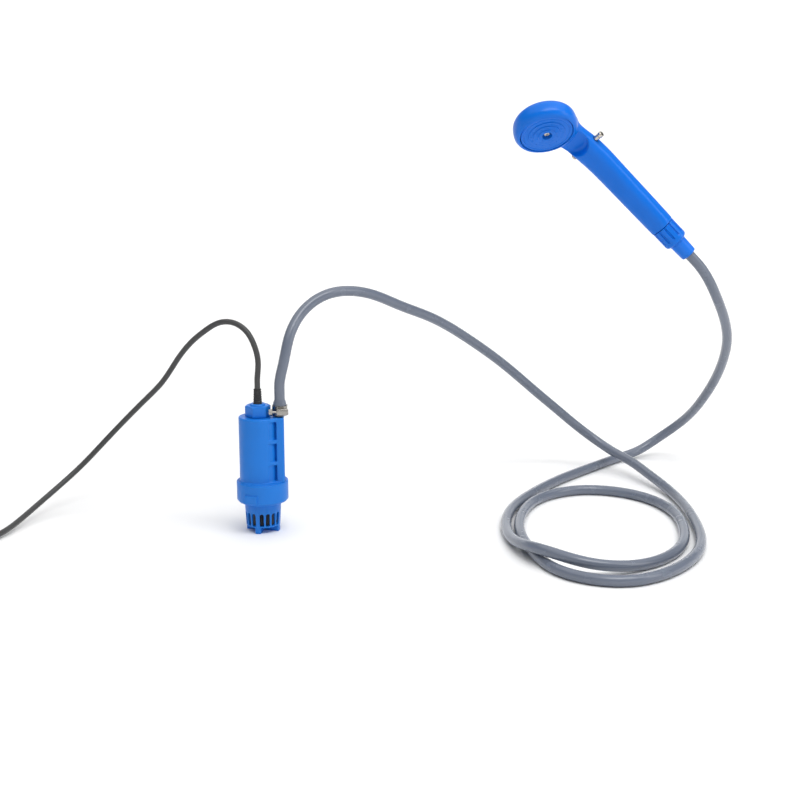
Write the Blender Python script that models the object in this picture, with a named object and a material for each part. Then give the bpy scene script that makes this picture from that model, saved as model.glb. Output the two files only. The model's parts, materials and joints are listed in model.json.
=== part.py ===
"""Portable camp shower: a submersible 12 V pump, its hose, and a handset with a push valve.

Run in Blender 4.5. Metres, +Z up. The origin is the middle of the handset's grip, where a hand
holds it above the ground that the pump, the loops of the hose and the cable stand and lie on.
"""

import math

import bmesh
import bpy
import numpy as np
from mathutils import Matrix, Vector

# Clearances
GAP = 0.0003            # between pieces that touch
SLIDE_GAP = 0.00035     # round the valve spool
TURN_GAP = 0.0003       # round the shaft and the union nut
OVERLAP = 0.0006        # how far joined shapes reach into each other
THROUGH = 0.004         # how far a cutter stands past the wall it cuts

# How the handset is held: directions of its grip and of its front, then the ground below it
GRIP_DIRECTION = Vector((0.799, 0.2455, -0.549))
FRONT_DIRECTION = Vector((-0.175, -0.7785, -0.603))
GROUND_Z = -0.314

# Handset moulding: its middle line bends at the neck and runs straight down the grip
BEND_RADIUS = 0.135
BEND_LENGTH = 0.075
NECK_TILT = math.radians(-13.6)
HEAD_TILT = math.radians(-11.2)
HEAD_FORWARD = 0.0078
GRIP_AT = 0.1112
TAIL_AT = 0.1541
HANDLE_SECTIONS = (     # along the middle line, half width, front depth, rear depth
    (0.0150, 0.0140, 0.0060, 0.0030),
    (0.0260, 0.0139, 0.0080, 0.0062),
    (0.0370, 0.0138, 0.0098, 0.0087),
    (0.0480, 0.0139, 0.0107, 0.0100),
    (0.0620, 0.0136, 0.0109, 0.0104),
    (0.0820, 0.0131, 0.0107, 0.0105),
    (0.1060, 0.0127, 0.0106, 0.0106),
    (0.1280, 0.0124, 0.0107, 0.0107),
    (0.1450, 0.0120, 0.0109, 0.0109),
    (TAIL_AT, 0.0116, 0.0112, 0.0112),
)
HANDLE_SIDES = 20
HANDLE_SQUARENESS = 2.5
SCOOP_RADIUS = 0.0148
SCOOP_AT = 0.0305
SCOOP_FLOOR = 0.0030
SCOOP_FILLET = 0.0045
WATERWAY_RADIUS = 0.0026
WATERWAY_DEPTH = 0.0004

# Head
HEAD_RADIUS = 0.0325
HEAD_BACK = 0.0118
HEAD_FRONT = 0.0078
HEAD_SEGMENTS = 28
PLATE_RADIUS = 0.0260
PLATE_SEAT = 0.0030
SEAT_WIDTH = 0.0017
GASKET_THICKNESS = 0.0009
PLATE_THICKNESS = 0.0024
PLATE_STEP = 0.0006
PLATE_STEP_RADII = (0.0172, 0.0130, 0.0085)
SPRAY_RINGS = ((0.0151, 14), (0.0108, 10), (0.0066, 6))     # ring radius, holes
SPRAY_HOLE_RADIUS = 0.0007
CHAMBER_DEPTH = 0.0062
BOSS_RADIUS = 0.0044
RECESS_RADIUS = 0.00475
RECESS_DEPTH = 0.0031
SCREW_HEAD_RADIUS = 0.00275
SCREW_HEAD_HEIGHT = 0.0015
SCREW_SHANK_RADIUS = 0.0014
SCREW_SHANK_LENGTH = 0.0085

# Push valve
VALVE_AT = 0.0479
VALVE_DEPTH = 0.0004
SPOOL_RADIUS = 0.0026
SPOOL_TOP = 0.0224
SPOOL_BOTTOM = -0.0148
SPOOL_HEAD_RADIUS = 0.0029
SPOOL_HEAD_LENGTH = 0.0032
SPOOL_WAIST_RADIUS = 0.0015
SPOOL_WAIST_LENGTH = 0.0060
ORING_AT = 0.0085
ORING_WIRE = 0.0010
ORING_GROOVE_WIDTH = 0.0018
END_CAP_LENGTH = 0.0026

# Union nut and hose tail, measured along the tail from the end of the grip
THREAD_RADIUS = 0.0096
THREAD_LENGTH = 0.0080
THREAD_CHAMFER = 0.0006
TAIL_BORE_RADIUS = 0.0045
TAIL_BORE_DEPTH = 0.0120
NUT_RADIUS = 0.01185
NUT_LENGTH = 0.0200
NUT_FLUTES = 12
FLUTE_DEPTH = 0.0007
FLUTE_WIDTH = 0.0034
NUT_LIP_LENGTH = 0.0052
WASHER_THICKNESS = 0.0020
FLANGE_THICKNESS = 0.0024
THRUST_RING_THICKNESS = 0.0013
COLLAR_RADIUS = 0.0085
COLLAR_END_RADIUS = 0.0076
COLLAR_LENGTH = 0.0378
SOCKET_DEPTH = 0.0155
TAIL_WATER_RADIUS = 0.0024
NIPPLE_RADIUS = 0.0031
NIPPLE_LENGTH = 0.0120

# Hose
HOSE_RADIUS = 0.0050
HOSE_BORE = 0.0034
HOSE_SAMPLES = 78

# Pump: the motor's axis is its vertical centre line, and the collar and strainer
# sit round a second one, nearer the riser
PUMP_AT = Vector((-0.3545, -0.0620, GROUND_Z))
PUMP_TURN = math.radians(6.0)
LOWER_AXIS_X = 0.0028
HOUSING_RADIUS = 0.0184
HOUSING_BOTTOM = 0.0493
HOUSING_TOP = 0.1113
RISER_BEYOND_SPIGOT = 0.0036
RISER_INTO_CASE = 0.0019
RISER_HALF_WIDTH = 0.0122
RISER_CORNER = 0.0022
RIB_THICKNESS = 0.0034
RIB_LEVELS = (0.0680, 0.0890)
POCKET_BOTTOM = 0.0508
POCKET_TOP = 0.1078
TOP_CHAMFER = 0.0008
MOTOR_BORE_RADIUS = 0.0146
MOTOR_BORE_TOP = 0.0990
GLAND_BOSS_RADIUS = 0.0080
GLAND_BOSS_HEIGHT = 0.0057
SPIGOT_RADIUS = 0.0047
SPIGOT_LENGTH = 0.0155
SPIGOT_BARB = 0.0003
DUCT_RADIUS = 0.0026
PLUG_BOTTOM = 0.0415
HOUSING_GROOVE_DEPTH = 0.0019
COLLAR_SHELL_RADIUS = 0.0244
COLLAR_SHELL_WALL = 0.0020
COLLAR_BOTTOM = 0.0296
COLLAR_FLANGE = 0.0029
COLLAR_SHOULDER = 0.0017
COLLAR_LIP = 0.0016
PAD_WIDTH = 0.0125
PAD_HEIGHT = 0.0078
PAD_RISE = 0.0005
PAD_TURN = math.radians(-117.0)
CHAMBER_HEIGHT = 0.0041
INLET_PLATE_THICKNESS = 0.0022
INLET_EYE_RADIUS = 0.0050

# Strainer
STRAINER_TOP_RADIUS = 0.0174
STRAINER_FOOT_RADIUS = 0.0161
STRAINER_BOTTOM = 0.0057
STRAINER_WALL = 0.0016
NECK_RADIUS = 0.0150
NECK_TOP = 0.0345
LUG_REACH = 0.0017
LUG_HEIGHT = 0.0015
LUG_ANGLE = math.radians(20.0)
TWIST = math.radians(25.0)
FIN_COUNT = 4
FIN_FIRST = math.radians(-109.5)
FIN_ROOT_WIDTH = 0.0016
FIN_FOOT_WIDTH = 0.0055
SLOTS_BETWEEN_FINS = 4
SLOT_PITCH = math.radians(20.7)
SLOT_WIDTH = 0.0039
SLOT_BOTTOM = 0.0071
SLOT_TOP = 0.0196

# Motor and impeller
SEAL_PLATE_THICKNESS = 0.0060
CAN_RADIUS = 0.01385
CAN_WALL = 0.0009
CAN_LENGTH = 0.0400
MAGNET_INNER = 0.0106
MAGNET_OUTER = 0.0126
MAGNET_LENGTH = 0.0270
MAGNET_ANGLE = math.radians(118.0)
ARMATURE_RADIUS = 0.0101
ARMATURE_LENGTH = 0.0230
ARMATURE_POLES = 5
SHAFT_RADIUS = 0.00115
BEARING_RADIUS = 0.0030
BEARING_LENGTH = 0.0032
COMMUTATOR_RADIUS = 0.0036
COMMUTATOR_LENGTH = 0.0060
END_CAP_THICKNESS = 0.0034
CUSHION_THICKNESS = 0.0030
IMPELLER_RADIUS = 0.0125
IMPELLER_DISC = 0.0011
IMPELLER_HEIGHT = 0.0031
IMPELLER_VANES = 6
VANE_THICKNESS = 0.0010

# Gland on top of the pump
GLAND_ACROSS_FLATS = 0.0212
GLAND_HEX_HEIGHT = 0.0104
GLAND_DOME = 0.0015
GLAND_CORNER_ANGLE = math.radians(7.0)
SLEEVE_RADIUS = 0.0041
SLEEVE_TOP_RADIUS = 0.0036
SLEEVE_ABOVE_NUT = 0.0140

# Hose clamp on the spigot
HOSE_ON_SPIGOT = 0.0063
HOSE_END_LENGTH = 0.0185
CLAMP_BOTTOM = 0.0005
CLAMP_WIDTH = 0.0094
CLAMP_TO_GLAND = 0.00076
CLAMP_BAND = 0.0006
CLAMP_EDGE = 0.0003
CLAMP_BOX = Vector((0.0112, 0.0036, 0.0058))
CLAMP_SCREW_RADIUS = 0.0016
CLAMP_SCREW_HEAD = 0.0032
CLAMP_SCREW_HEAD_LENGTH = 0.0033

# Cable and its coil
CABLE_RADIUS = 0.0027
CABLE_SAMPLES = 50
COIL_CENTRE = Vector((-0.6740, -0.1900))
COIL_INNER = 0.0215
COIL_PITCH = 0.0060
COIL_TURNS = 5.5
COIL_POINTS_PER_TURN = 24
TIE_WIDTH = 0.0080
TIE_THICKNESS = 0.0008
TIE_SLACK = 0.0016

# Lighter plug
PLUG_LEAD = 0.0480
RELIEF_LENGTH = 0.0220
RELIEF_RADIUS = 0.0036
RELIEF_ROOT_RADIUS = 0.0056
PLUG_GRIP_RADIUS = 0.0125
PLUG_GRIP_LENGTH = 0.0280
PLUG_NOSE_RADIUS = 0.0104
PLUG_NOSE_LENGTH = 0.0320
PLUG_BORE_RADIUS = 0.0066
NOSE_RING_LENGTH = 0.0060
TIP_RADIUS = 0.0039
TIP_REACH = 0.0055
TIP_FLANGE = 0.0056
FUSE_RADIUS = 0.0031
FUSE_LENGTH = 0.0250
SPRING_WIRE = 0.0005
SPRING_RADIUS = 0.0030
SPRING_TURNS = 4
CONTACT_WIDTH = 0.0048
CONTACT_LENGTH = 0.0180
CONTACT_THICKNESS = 0.0007
CONTACT_BULGE = 0.0013
PLUG_SCREW_RADIUS = 0.0017
PLUG_SCREW_AT = 0.0065
PLUG_BORE_AT = 0.0115

# Routes of the free stretches, in metres, chosen by hand; each starts and ends
# straight out of what it meets
HOSE_ROUTE = (
    (-0.3303, -0.0585, -0.1544),
    (-0.3250, -0.0517, -0.1301),
    (-0.3171, -0.0400, -0.1130),
    (-0.3058, -0.0300, -0.1012),
    (-0.2906, -0.0200, -0.0935),
    (-0.2687, -0.0050, -0.0922),
    (-0.2464, 0.0120, -0.0985),
    (-0.2220, 0.0320, -0.1113),
    (-0.1904, 0.0600, -0.1277),
    (-0.1474, 0.0980, -0.1581),
    (-0.1076, 0.1280, -0.1912),
    (-0.0727, 0.1460, -0.2232),
    (-0.0431, 0.1580, -0.2497),
    (-0.0194, 0.1641, -0.2701),
    (-0.0006, 0.1599, -0.2835),
    (0.0146, 0.1481, -0.2919),
    (0.0306, 0.1235, -0.2967),
    (0.0432, 0.0940, -0.3015),
    (0.0556, 0.0596, -0.3065),
    (0.0635, 0.0070, -0.3087),
    (0.0630, -0.0600, -0.3090),
    (0.0500, -0.1330, -0.3090),
    (0.0160, -0.1890, -0.3090),
    (-0.0330, -0.2170, -0.3090),
    (-0.0760, -0.2000, -0.3090),
    (-0.1010, -0.1450, -0.3090),
    (-0.1080, -0.0850, -0.3090),
    (-0.1000, -0.0250, -0.3090),
    (-0.0710, 0.0320, -0.3090),
    (-0.0290, 0.0540, -0.3090),
    (0.0160, 0.0400, -0.3090),
    (0.0450, -0.0050, -0.3090),
    (0.0480, -0.0730, -0.3090),
    (0.0270, -0.1410, -0.3090),
    (-0.0130, -0.1800, -0.3080),
    (-0.0600, -0.1910, -0.3020),
    (-0.0930, -0.1720, -0.2980),
    (-0.1150, -0.1250, -0.3050),
    (-0.1200, -0.0750, -0.3090),
    (-0.1120, -0.0200, -0.3090),
    (-0.0850, 0.0400, -0.3090),
    (-0.0454, 0.0989, -0.3090),
    (-0.0021, 0.1500, -0.3090),
    (0.0310, 0.1860, -0.3088),
    (0.0555, 0.2019, -0.3044),
    (0.0748, 0.2070, -0.2936),
    (0.0965, 0.1994, -0.2746),
    (0.1115, 0.1650, -0.2433),
    (0.1194, 0.1300, -0.2087),
    (0.1200, 0.0950, -0.1757),
    (0.1153, 0.0680, -0.1508),
    (0.1046, 0.0420, -0.1259),
    (0.0893, 0.0168, -0.1001),
)
CABLE_ROUTE = (
    (-0.3535, -0.0600, -0.1514),
    (-0.3572, -0.0570, -0.1358),
    (-0.3648, -0.0530, -0.1233),
    (-0.3764, -0.0480, -0.1165),
    (-0.3904, -0.0420, -0.1170),
    (-0.4048, -0.0350, -0.1253),
    (-0.4201, -0.0250, -0.1381),
    (-0.4373, -0.0120, -0.1586),
    (-0.4539, 0.0000, -0.1819),
    (-0.4727, 0.0120, -0.2016),
    (-0.4957, 0.0220, -0.2244),
    (-0.5204, 0.0260, -0.2498),
    (-0.5431, 0.0170, -0.2729),
    (-0.5619, -0.0010, -0.2890),
    (-0.5816, -0.0400, -0.3036),
    (-0.5947, -0.0850, -0.3096),
    (-0.6150, -0.1280, -0.3104),
)


def clear_scene():
    for old in list(bpy.data.objects):
        bpy.data.objects.remove(old, do_unlink=True)


def material(name, colour, roughness, metallic=0.0):
    made = bpy.data.materials.new(name)
    made.use_nodes = True
    shader = made.node_tree.nodes["Principled BSDF"]
    shader.inputs["Base Color"].default_value = (*colour, 1.0)
    shader.inputs["Roughness"].default_value = roughness
    shader.inputs["Metallic"].default_value = metallic
    return made


MATERIALS = {}


def make_materials():
    MATERIALS.update(
        blue=material("bright_blue_abs", (0.012, 0.225, 0.86), 0.28),
        pump_blue=material("pump_blue_abs", (0.028, 0.210, 0.68), 0.38),
        hose=material("grey_pvc", (0.195, 0.223, 0.287), 0.30),
        cable=material("dark_pvc", (0.070, 0.070, 0.070), 0.45),
        black=material("black_plastic", (0.020, 0.020, 0.022), 0.45),
        rubber=material("black_rubber", (0.016, 0.016, 0.017), 0.75),
        nickel=material("nickel_plate", (0.70, 0.67, 0.61), 0.20, 1.0),
        steel=material("stainless_steel", (0.56, 0.55, 0.53), 0.30, 1.0),
        magnet=material("ferrite", (0.050, 0.048, 0.046), 0.60),
        lamination=material("laminated_iron", (0.24, 0.15, 0.09), 0.50, 0.6),
        copper=material("copper", (0.80, 0.36, 0.18), 0.30, 1.0),
        carbon=material("carbon", (0.030, 0.030, 0.032), 0.60),
        white=material("white_nylon", (0.75, 0.74, 0.70), 0.40),
        glass=material("fuse_glass", (0.60, 0.64, 0.62), 0.10),
    )


def make_object(name, bm, colour=None, parent=None, smooth=40.0):
    """An object from a bmesh, carried by a frame; without a colour it is a hidden cutter."""
    bmesh.ops.recalc_face_normals(bm, faces=bm.faces)
    mesh = bpy.data.meshes.new(name)
    bm.to_mesh(mesh)
    bm.free()
    mesh.shade_smooth()
    mesh.set_sharp_from_angle(angle=math.radians(smooth))
    made = bpy.data.objects.new(name, mesh)
    bpy.context.collection.objects.link(made)
    made.parent = parent
    if colour is None:
        made.hide_render = True
        made.display_type = "WIRE"
    else:
        mesh.materials.append(MATERIALS[colour])
    return made


def combine(target, operand, operation="DIFFERENCE"):
    step = target.modifiers.new(operand.name, "BOOLEAN")
    step.operation = operation
    step.solver = "EXACT"
    step.object = operand


def frame(name, origin, z_axis, x_axis):
    """An empty whose Z and X axes are given; the pieces of one sub-assembly hang from it."""
    z_axis = Vector(z_axis).normalized()
    y_axis = z_axis.cross(Vector(x_axis)).normalized()
    turn = Matrix((y_axis.cross(z_axis), y_axis, z_axis)).transposed()
    empty = bpy.data.objects.new(name, None)
    empty.matrix_world = Matrix.Translation(origin) @ turn.to_4x4()
    bpy.context.collection.objects.link(empty)
    return empty


def lathe(profile, steps=32):
    """Turn a profile of (radius, height) about Z; one that starts off the axis is closed."""
    bm = bmesh.new()
    verts = [bm.verts.new((radius, 0.0, height)) for radius, height in profile]
    edges = [bm.edges.new(pair) for pair in zip(verts, verts[1:])]
    if profile[0][0] > 0.0 or profile[-1][0] > 0.0:
        edges.append(bm.edges.new((verts[-1], verts[0])))
    bmesh.ops.spin(
        bm, geom=verts + edges, cent=(0, 0, 0), axis=(0, 0, 1), angle=2 * math.pi,
        steps=steps, use_merge=True,
    )
    bmesh.ops.remove_doubles(bm, verts=bm.verts, dist=1e-7)
    return bm


def ring(inner, outer, low, high, steps=32):
    """A plain turned ring."""
    return lathe(((inner, low), (outer, low), (outer, high), (inner, high)), steps)


def rod(radius, low, high, steps=16, chamfer=0.0):
    """A plain turned rod."""
    if chamfer:
        inner = radius - chamfer
        return lathe(((0, low), (inner, low), (radius, low + chamfer),
                      (radius, high - chamfer), (inner, high), (0, high)), steps)
    return lathe(((0, low), (radius, low), (radius, high), (0, high)), steps)


def loft(rings, bm=None):
    """A closed skin over rings of equally many points, with flat ends."""
    bm = bm or bmesh.new()
    loops = [[bm.verts.new(point) for point in points] for points in rings]
    count = len(loops[0])
    for near, far in zip(loops, loops[1:]):
        for i in range(count):
            j = (i + 1) % count
            bm.faces.new((near[i], near[j], far[j], far[i]))
    bm.faces.new(list(reversed(loops[0])))
    bm.faces.new(loops[-1])
    return bm


def circle(centre, radius, count, u=Vector((1, 0, 0)), v=Vector((0, 1, 0)), start=0.0):
    turns = (start + 2 * math.pi * i / count for i in range(count))
    return [centre + radius * (math.cos(t) * u + math.sin(t) * v) for t in turns]


def block(centre, size, turn=0.0, bevel=0.0, bm=None):
    """A box, turned about Z, with its edges bevelled."""
    bm = bm or bmesh.new()
    place = Matrix.Translation(centre) @ Matrix.Rotation(turn, 4, "Z") @ Matrix.Diagonal((*size, 1))
    made = bmesh.ops.create_cube(bm, size=1.0, matrix=place)
    if bevel:
        edges = {edge for vert in made["verts"] for edge in vert.link_edges}
        bmesh.ops.bevel(bm, geom=list(edges), offset=bevel, segments=2, affect="EDGES", profile=0.5)
    return bm


def polar(radius, angle, height=0.0):
    return Vector((radius * math.cos(angle), radius * math.sin(angle), height))


def cord_path(start, ahead, route, end, onward, radius, samples):
    """A straight diameter out of each end piece, and between them a cubic spline that starts
    ahead, passes the route's points, and arrives going onward; its points are evenly spaced."""
    ahead, onward = Vector(ahead).normalized(), Vector(onward).normalized()
    points = np.array([start + 2 * radius * ahead, *route, end - 2 * radius * onward], float)
    knots = np.concatenate([[0], np.cumsum(np.linalg.norm(np.diff(points, axis=0), axis=1))])
    step = np.diff(knots)
    slope = np.diff(points, axis=0) / step[:, None]
    slopes = np.vstack([[ahead], slope, [onward]])
    count = len(points)
    system = np.zeros((count, count))
    for i in range(count):
        if i > 0:
            system[i, i - 1:i + 1] += step[i - 1], 2 * step[i - 1]
        if i < count - 1:
            system[i, i:i + 2] += 2 * step[i], step[i]
    right = 6 * np.diff(slopes, axis=0)
    bend = np.linalg.solve(system, right)

    def at(length):
        i = min(max(int(np.searchsorted(knots, length)) - 1, 0), count - 2)
        a = (knots[i + 1] - length) / step[i]
        b = 1 - a
        sag = ((a ** 3 - a) * bend[i] + (b ** 3 - b) * bend[i + 1]) * step[i] ** 2 / 6
        return a * points[i] + b * points[i + 1] + sag

    fine = np.array([at(x) for x in np.linspace(0, knots[-1], 40 * count)])
    along = np.concatenate([[0], np.cumsum(np.linalg.norm(np.diff(fine, axis=0), axis=1))])
    even = np.linspace(0, along[-1], samples - 2)
    curve = [Vector([np.interp(x, along, fine[:, k]) for k in range(3)]) for x in even]
    return [start, *curve, end]


def path_length(points):
    return sum((b - a).length for a, b in zip(points, points[1:]))


def tube(name, points, radius, colour, resolution=2):
    """A filled curve along the points."""
    curve = bpy.data.curves.new(name, "CURVE")
    curve.dimensions = "3D"
    curve.bevel_depth = radius
    curve.bevel_resolution = resolution
    curve.use_fill_caps = True
    spline = curve.splines.new("POLY")
    spline.points.add(len(points) - 1)
    for place, point in zip(spline.points, points):
        place.co = (*point, 1.0)
    curve.materials.append(MATERIALS[colour])
    made = bpy.data.objects.new(name, curve)
    bpy.context.collection.objects.link(made)
    return made


def line_angle(along):
    """The middle line's direction, from the handset's long axis towards its front."""
    return NECK_TILT + min(along, BEND_LENGTH) / BEND_RADIUS


def line_direction(along):
    angle = line_angle(along)
    return Vector((math.cos(angle), 0, math.sin(angle)))


def line_front(along):
    angle = line_angle(along)
    return Vector((-math.sin(angle), 0, math.cos(angle)))


def line_point(along, across=0.0, front=0.0):
    """A point by its length along the middle line, in the handset's frame."""
    def on_line(length):
        return -BEND_RADIUS * line_front(length) + max(0.0, length - BEND_LENGTH) * line_direction(length)
    return on_line(along) - on_line(GRIP_AT) + Vector((0, across, 0)) + front * line_front(along)


def handle_section(along, half_width, front, rear, squareness=HANDLE_SQUARENESS):
    """One rounded, slightly square slice of the handle."""
    points = []
    for i in range(HANDLE_SIDES):
        turn = 2 * math.pi * i / HANDLE_SIDES
        reach = [math.copysign(abs(x) ** (2 / squareness), x) for x in (math.cos(turn), math.sin(turn))]
        depth = reach[1] * (front if reach[1] > 0 else rear)
        points.append(line_point(along, half_width * reach[0], depth))
    return points


def handset_frames():
    held = frame("handset", (0, 0, 0), FRONT_DIRECTION, GRIP_DIRECTION)

    turn = held.matrix_world.to_3x3()

    def sub(name, place, z_axis, x_axis):
        return frame(name, turn @ place, turn @ z_axis, turn @ x_axis)

    face = Vector((-math.sin(HEAD_TILT), 0, math.cos(HEAD_TILT)))
    return {
        "held": held,
        "head": sub("head_axis", line_point(0.0, 0.0, HEAD_FORWARD), face, Vector((1, 0, 0))),
        "valve": sub("valve_axis", line_point(VALVE_AT, 0.0, -VALVE_DEPTH), Vector((0, 1, 0)), line_direction(VALVE_AT)),
        "tail": sub("tail_axis", line_point(TAIL_AT), line_direction(TAIL_AT), line_front(TAIL_AT)),
    }


PLATE_BACK = PLATE_SEAT + GASKET_THICKNESS + 2 * GAP
PLATE_FRONT = PLATE_BACK + PLATE_THICKNESS
PLATE_CENTRE = PLATE_FRONT + PLATE_STEP * len(PLATE_STEP_RADII)
SPOOL_BORE = SPOOL_RADIUS + SLIDE_GAP


def handset_shell(frames):
    """Head, neck and handle are one moulding; its water passages are cut through it."""
    thread_end = TAIL_AT + THREAD_LENGTH
    thread = ((TAIL_AT, THREAD_RADIUS), (thread_end - THREAD_CHAMFER, THREAD_RADIUS),
              (thread_end, THREAD_RADIUS - THREAD_CHAMFER))
    form = loft([
        *(handle_section(*section) for section in HANDLE_SECTIONS),
        *(handle_section(along, radius, radius, radius, 2.0) for along, radius in thread),
    ])
    bmesh.ops.triangulate(form, faces=form.faces)
    shell = make_object("handset_shell", form, "blue", frames["held"])

    bottom = SCOOP_FLOOR
    top = HEAD_RADIUS
    bends = 4
    fillet = [
        (SCOOP_RADIUS - SCOOP_FILLET * (1 - math.sin(turn)), bottom + SCOOP_FILLET * (1 - math.cos(turn)))
        for turn in (math.pi / 2 * i / bends for i in range(bends + 1))
    ]
    scoop = make_object("scoop_cutter", lathe([(0, bottom), *fillet, (SCOOP_RADIUS, top), (0, top)], 28))
    turn = Matrix((line_direction(SCOOP_AT), Vector((0, 1, 0)), line_front(SCOOP_AT))).transposed()
    scoop.parent = frames["held"]
    scoop.matrix_local = Matrix.Translation(line_point(SCOOP_AT)) @ turn.to_4x4()
    combine(shell, scoop)

    rim = 0.5 * (HEAD_RADIUS + PLATE_RADIUS + GAP)
    recess = PLATE_RADIUS + GAP
    head = make_object("head_dome", lathe((
        (0, -HEAD_BACK), (0.40 * HEAD_RADIUS, -0.965 * HEAD_BACK), (0.68 * HEAD_RADIUS, -0.80 * HEAD_BACK),
        (0.88 * HEAD_RADIUS, -0.50 * HEAD_BACK), (0.98 * HEAD_RADIUS, -0.14 * HEAD_BACK),
        (HEAD_RADIUS, 0.30 * HEAD_FRONT),
        (0.95 * HEAD_RADIUS, 0.76 * HEAD_FRONT), (rim, HEAD_FRONT), (0, HEAD_FRONT),
    ), HEAD_SEGMENTS), None, frames["head"])
    combine(shell, head, "UNION")
    chamber = recess - SEAT_WIDTH
    post_top = PLATE_BACK - GAP
    pilot = SCREW_SHANK_RADIUS + GAP
    pilot_end = PLATE_CENTRE - RECESS_DEPTH - SCREW_SHANK_LENGTH - GAP
    face = make_object("face_cutter", lathe((
        (0, pilot_end), (pilot, pilot_end), (pilot, post_top), (BOSS_RADIUS, post_top), (BOSS_RADIUS, -CHAMBER_DEPTH),
        (chamber, -CHAMBER_DEPTH), (chamber, PLATE_SEAT), (recess, PLATE_SEAT), (recess, HEAD_FRONT - 0.0008),
        (recess + 0.0008, HEAD_FRONT + GAP), (recess + 0.0008, HEAD_FRONT + THROUGH), (0, HEAD_FRONT + THROUGH),
    ), HEAD_SEGMENTS), None, frames["head"])
    combine(shell, face)

    tail_bore = make_object("tail_bore_cutter", rod(
        TAIL_BORE_RADIUS, -TAIL_BORE_DEPTH, THREAD_LENGTH + THROUGH, 20,
    ), None, frames["tail"])
    combine(shell, tail_bore)

    start = chamber - THROUGH
    length = TAIL_AT - TAIL_BORE_DEPTH / 2 - start
    stations = 8
    passage = loft([
        circle(line_point(s, 0, -WATERWAY_DEPTH), WATERWAY_RADIUS, 10, Vector((0, 1, 0)), line_front(s))
        for s in (start + length * i / (stations - 1) for i in range(stations))
    ])
    bmesh.ops.triangulate(passage, faces=passage.faces)
    waterway = make_object("waterway_cutter", passage, None, frames["held"])
    combine(shell, waterway)
    reach = max(section[1] for section in HANDLE_SECTIONS) + THROUGH
    spool_bore = make_object("spool_bore_cutter", rod(SPOOL_BORE, -reach, reach, 16), None, frames["valve"])
    combine(shell, spool_bore)
    return shell


def spray_plate(frames):
    """The face: steps rise towards the middle, with a ring of jets on each step."""
    edge = PLATE_RADIUS
    profile = [(SCREW_SHANK_RADIUS + GAP, PLATE_BACK), (edge, PLATE_BACK),
               (edge, PLATE_FRONT - 0.0007), (edge - 0.0007, PLATE_FRONT)]
    level = PLATE_FRONT
    for radius in PLATE_STEP_RADII:
        profile += [(radius, level), (radius - 0.0004, level + PLATE_STEP)]
        level += PLATE_STEP
    floor = level - RECESS_DEPTH
    profile += [(RECESS_RADIUS, level), (RECESS_RADIUS - 0.0003, floor), (SCREW_SHANK_RADIUS + GAP, floor)]
    plate = make_object("spray_plate", lathe(profile, HEAD_SEGMENTS), "blue", frames["head"], 20.0)

    jets = bmesh.new()
    for radius, count in SPRAY_RINGS:
        for i in range(count):
            middle = polar(radius, 2 * math.pi * (i + 0.5) / count)
            loft([circle(middle + Vector((0, 0, z)), SPRAY_HOLE_RADIUS, 5)
                  for z in (PLATE_BACK - THROUGH, PLATE_CENTRE + THROUGH)], jets)
    combine(plate, make_object("jet_cutter", jets, None, frames["head"]))

    make_object("plate_gasket", ring(
        PLATE_RADIUS + GAP - SEAT_WIDTH, PLATE_RADIUS, PLATE_SEAT + GAP, PLATE_BACK - GAP, HEAD_SEGMENTS,
    ), "rubber", frames["head"])

    seat = floor + GAP
    tip = floor - SCREW_SHANK_LENGTH
    make_object("plate_screw", lathe((
        (0, tip), (SCREW_SHANK_RADIUS, tip + 0.0008), (SCREW_SHANK_RADIUS, seat), (SCREW_HEAD_RADIUS, seat),
        (SCREW_HEAD_RADIUS, seat + 0.4 * SCREW_HEAD_HEIGHT),
        (0.72 * SCREW_HEAD_RADIUS, seat + 0.85 * SCREW_HEAD_HEIGHT), (0, seat + SCREW_HEAD_HEIGHT),
    ), 16), "nickel", frames["head"])


def push_valve(frames):
    """A rod across the handle: pushed one way it opens the water, the other way it shuts it."""
    axis = frames["valve"]
    half_groove = ORING_GROOVE_WIDTH / 2
    groove = SPOOL_RADIUS - ORING_WIRE + 0.0002
    top, bottom = SPOOL_TOP, SPOOL_BOTTOM
    neck = top - SPOOL_HEAD_LENGTH
    waist = SPOOL_WAIST_LENGTH / 2
    profile = [(0, bottom), (SPOOL_RADIUS - 0.0004, bottom), (SPOOL_RADIUS, bottom + 0.0004)]
    for middle, half, radius in ((-ORING_AT, half_groove, groove), (0.0, waist, SPOOL_WAIST_RADIUS),
                                 (ORING_AT, half_groove, groove)):
        profile += [(SPOOL_RADIUS, middle - half), (radius, middle - half),
                    (radius, middle + half), (SPOOL_RADIUS, middle + half)]
    profile += [(SPOOL_RADIUS, neck - 0.0007), (0.80 * SPOOL_RADIUS, neck - 0.0007), (0.80 * SPOOL_RADIUS, neck),
                (SPOOL_HEAD_RADIUS, neck), (SPOOL_HEAD_RADIUS, top - 0.0012), (0.75 * SPOOL_HEAD_RADIUS, top - 0.0003),
                (0, top)]
    make_object("valve_spool", lathe(profile, 12), "nickel", axis)

    wire = ORING_WIRE / 2
    middle_radius = groove + 0.0001 + wire
    for name, height in (("valve_oring_upper", ORING_AT), ("valve_oring_lower", -ORING_AT)):
        section = [(middle_radius + wire * math.cos(t), height + wire * math.sin(t))
                   for t in (2 * math.pi * i / 6 for i in range(6))]
        make_object(name, lathe(section, 12), "rubber", axis)

    low = bottom - GAP - END_CAP_LENGTH
    make_object("valve_end_cap", lathe((
        (0, low), (0.75 * SPOOL_HEAD_RADIUS, low + 0.0003), (SPOOL_HEAD_RADIUS, low + 0.0012),
        (SPOOL_HEAD_RADIUS, bottom - GAP), (0, bottom - GAP),
    ), 16), "nickel", axis)


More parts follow.
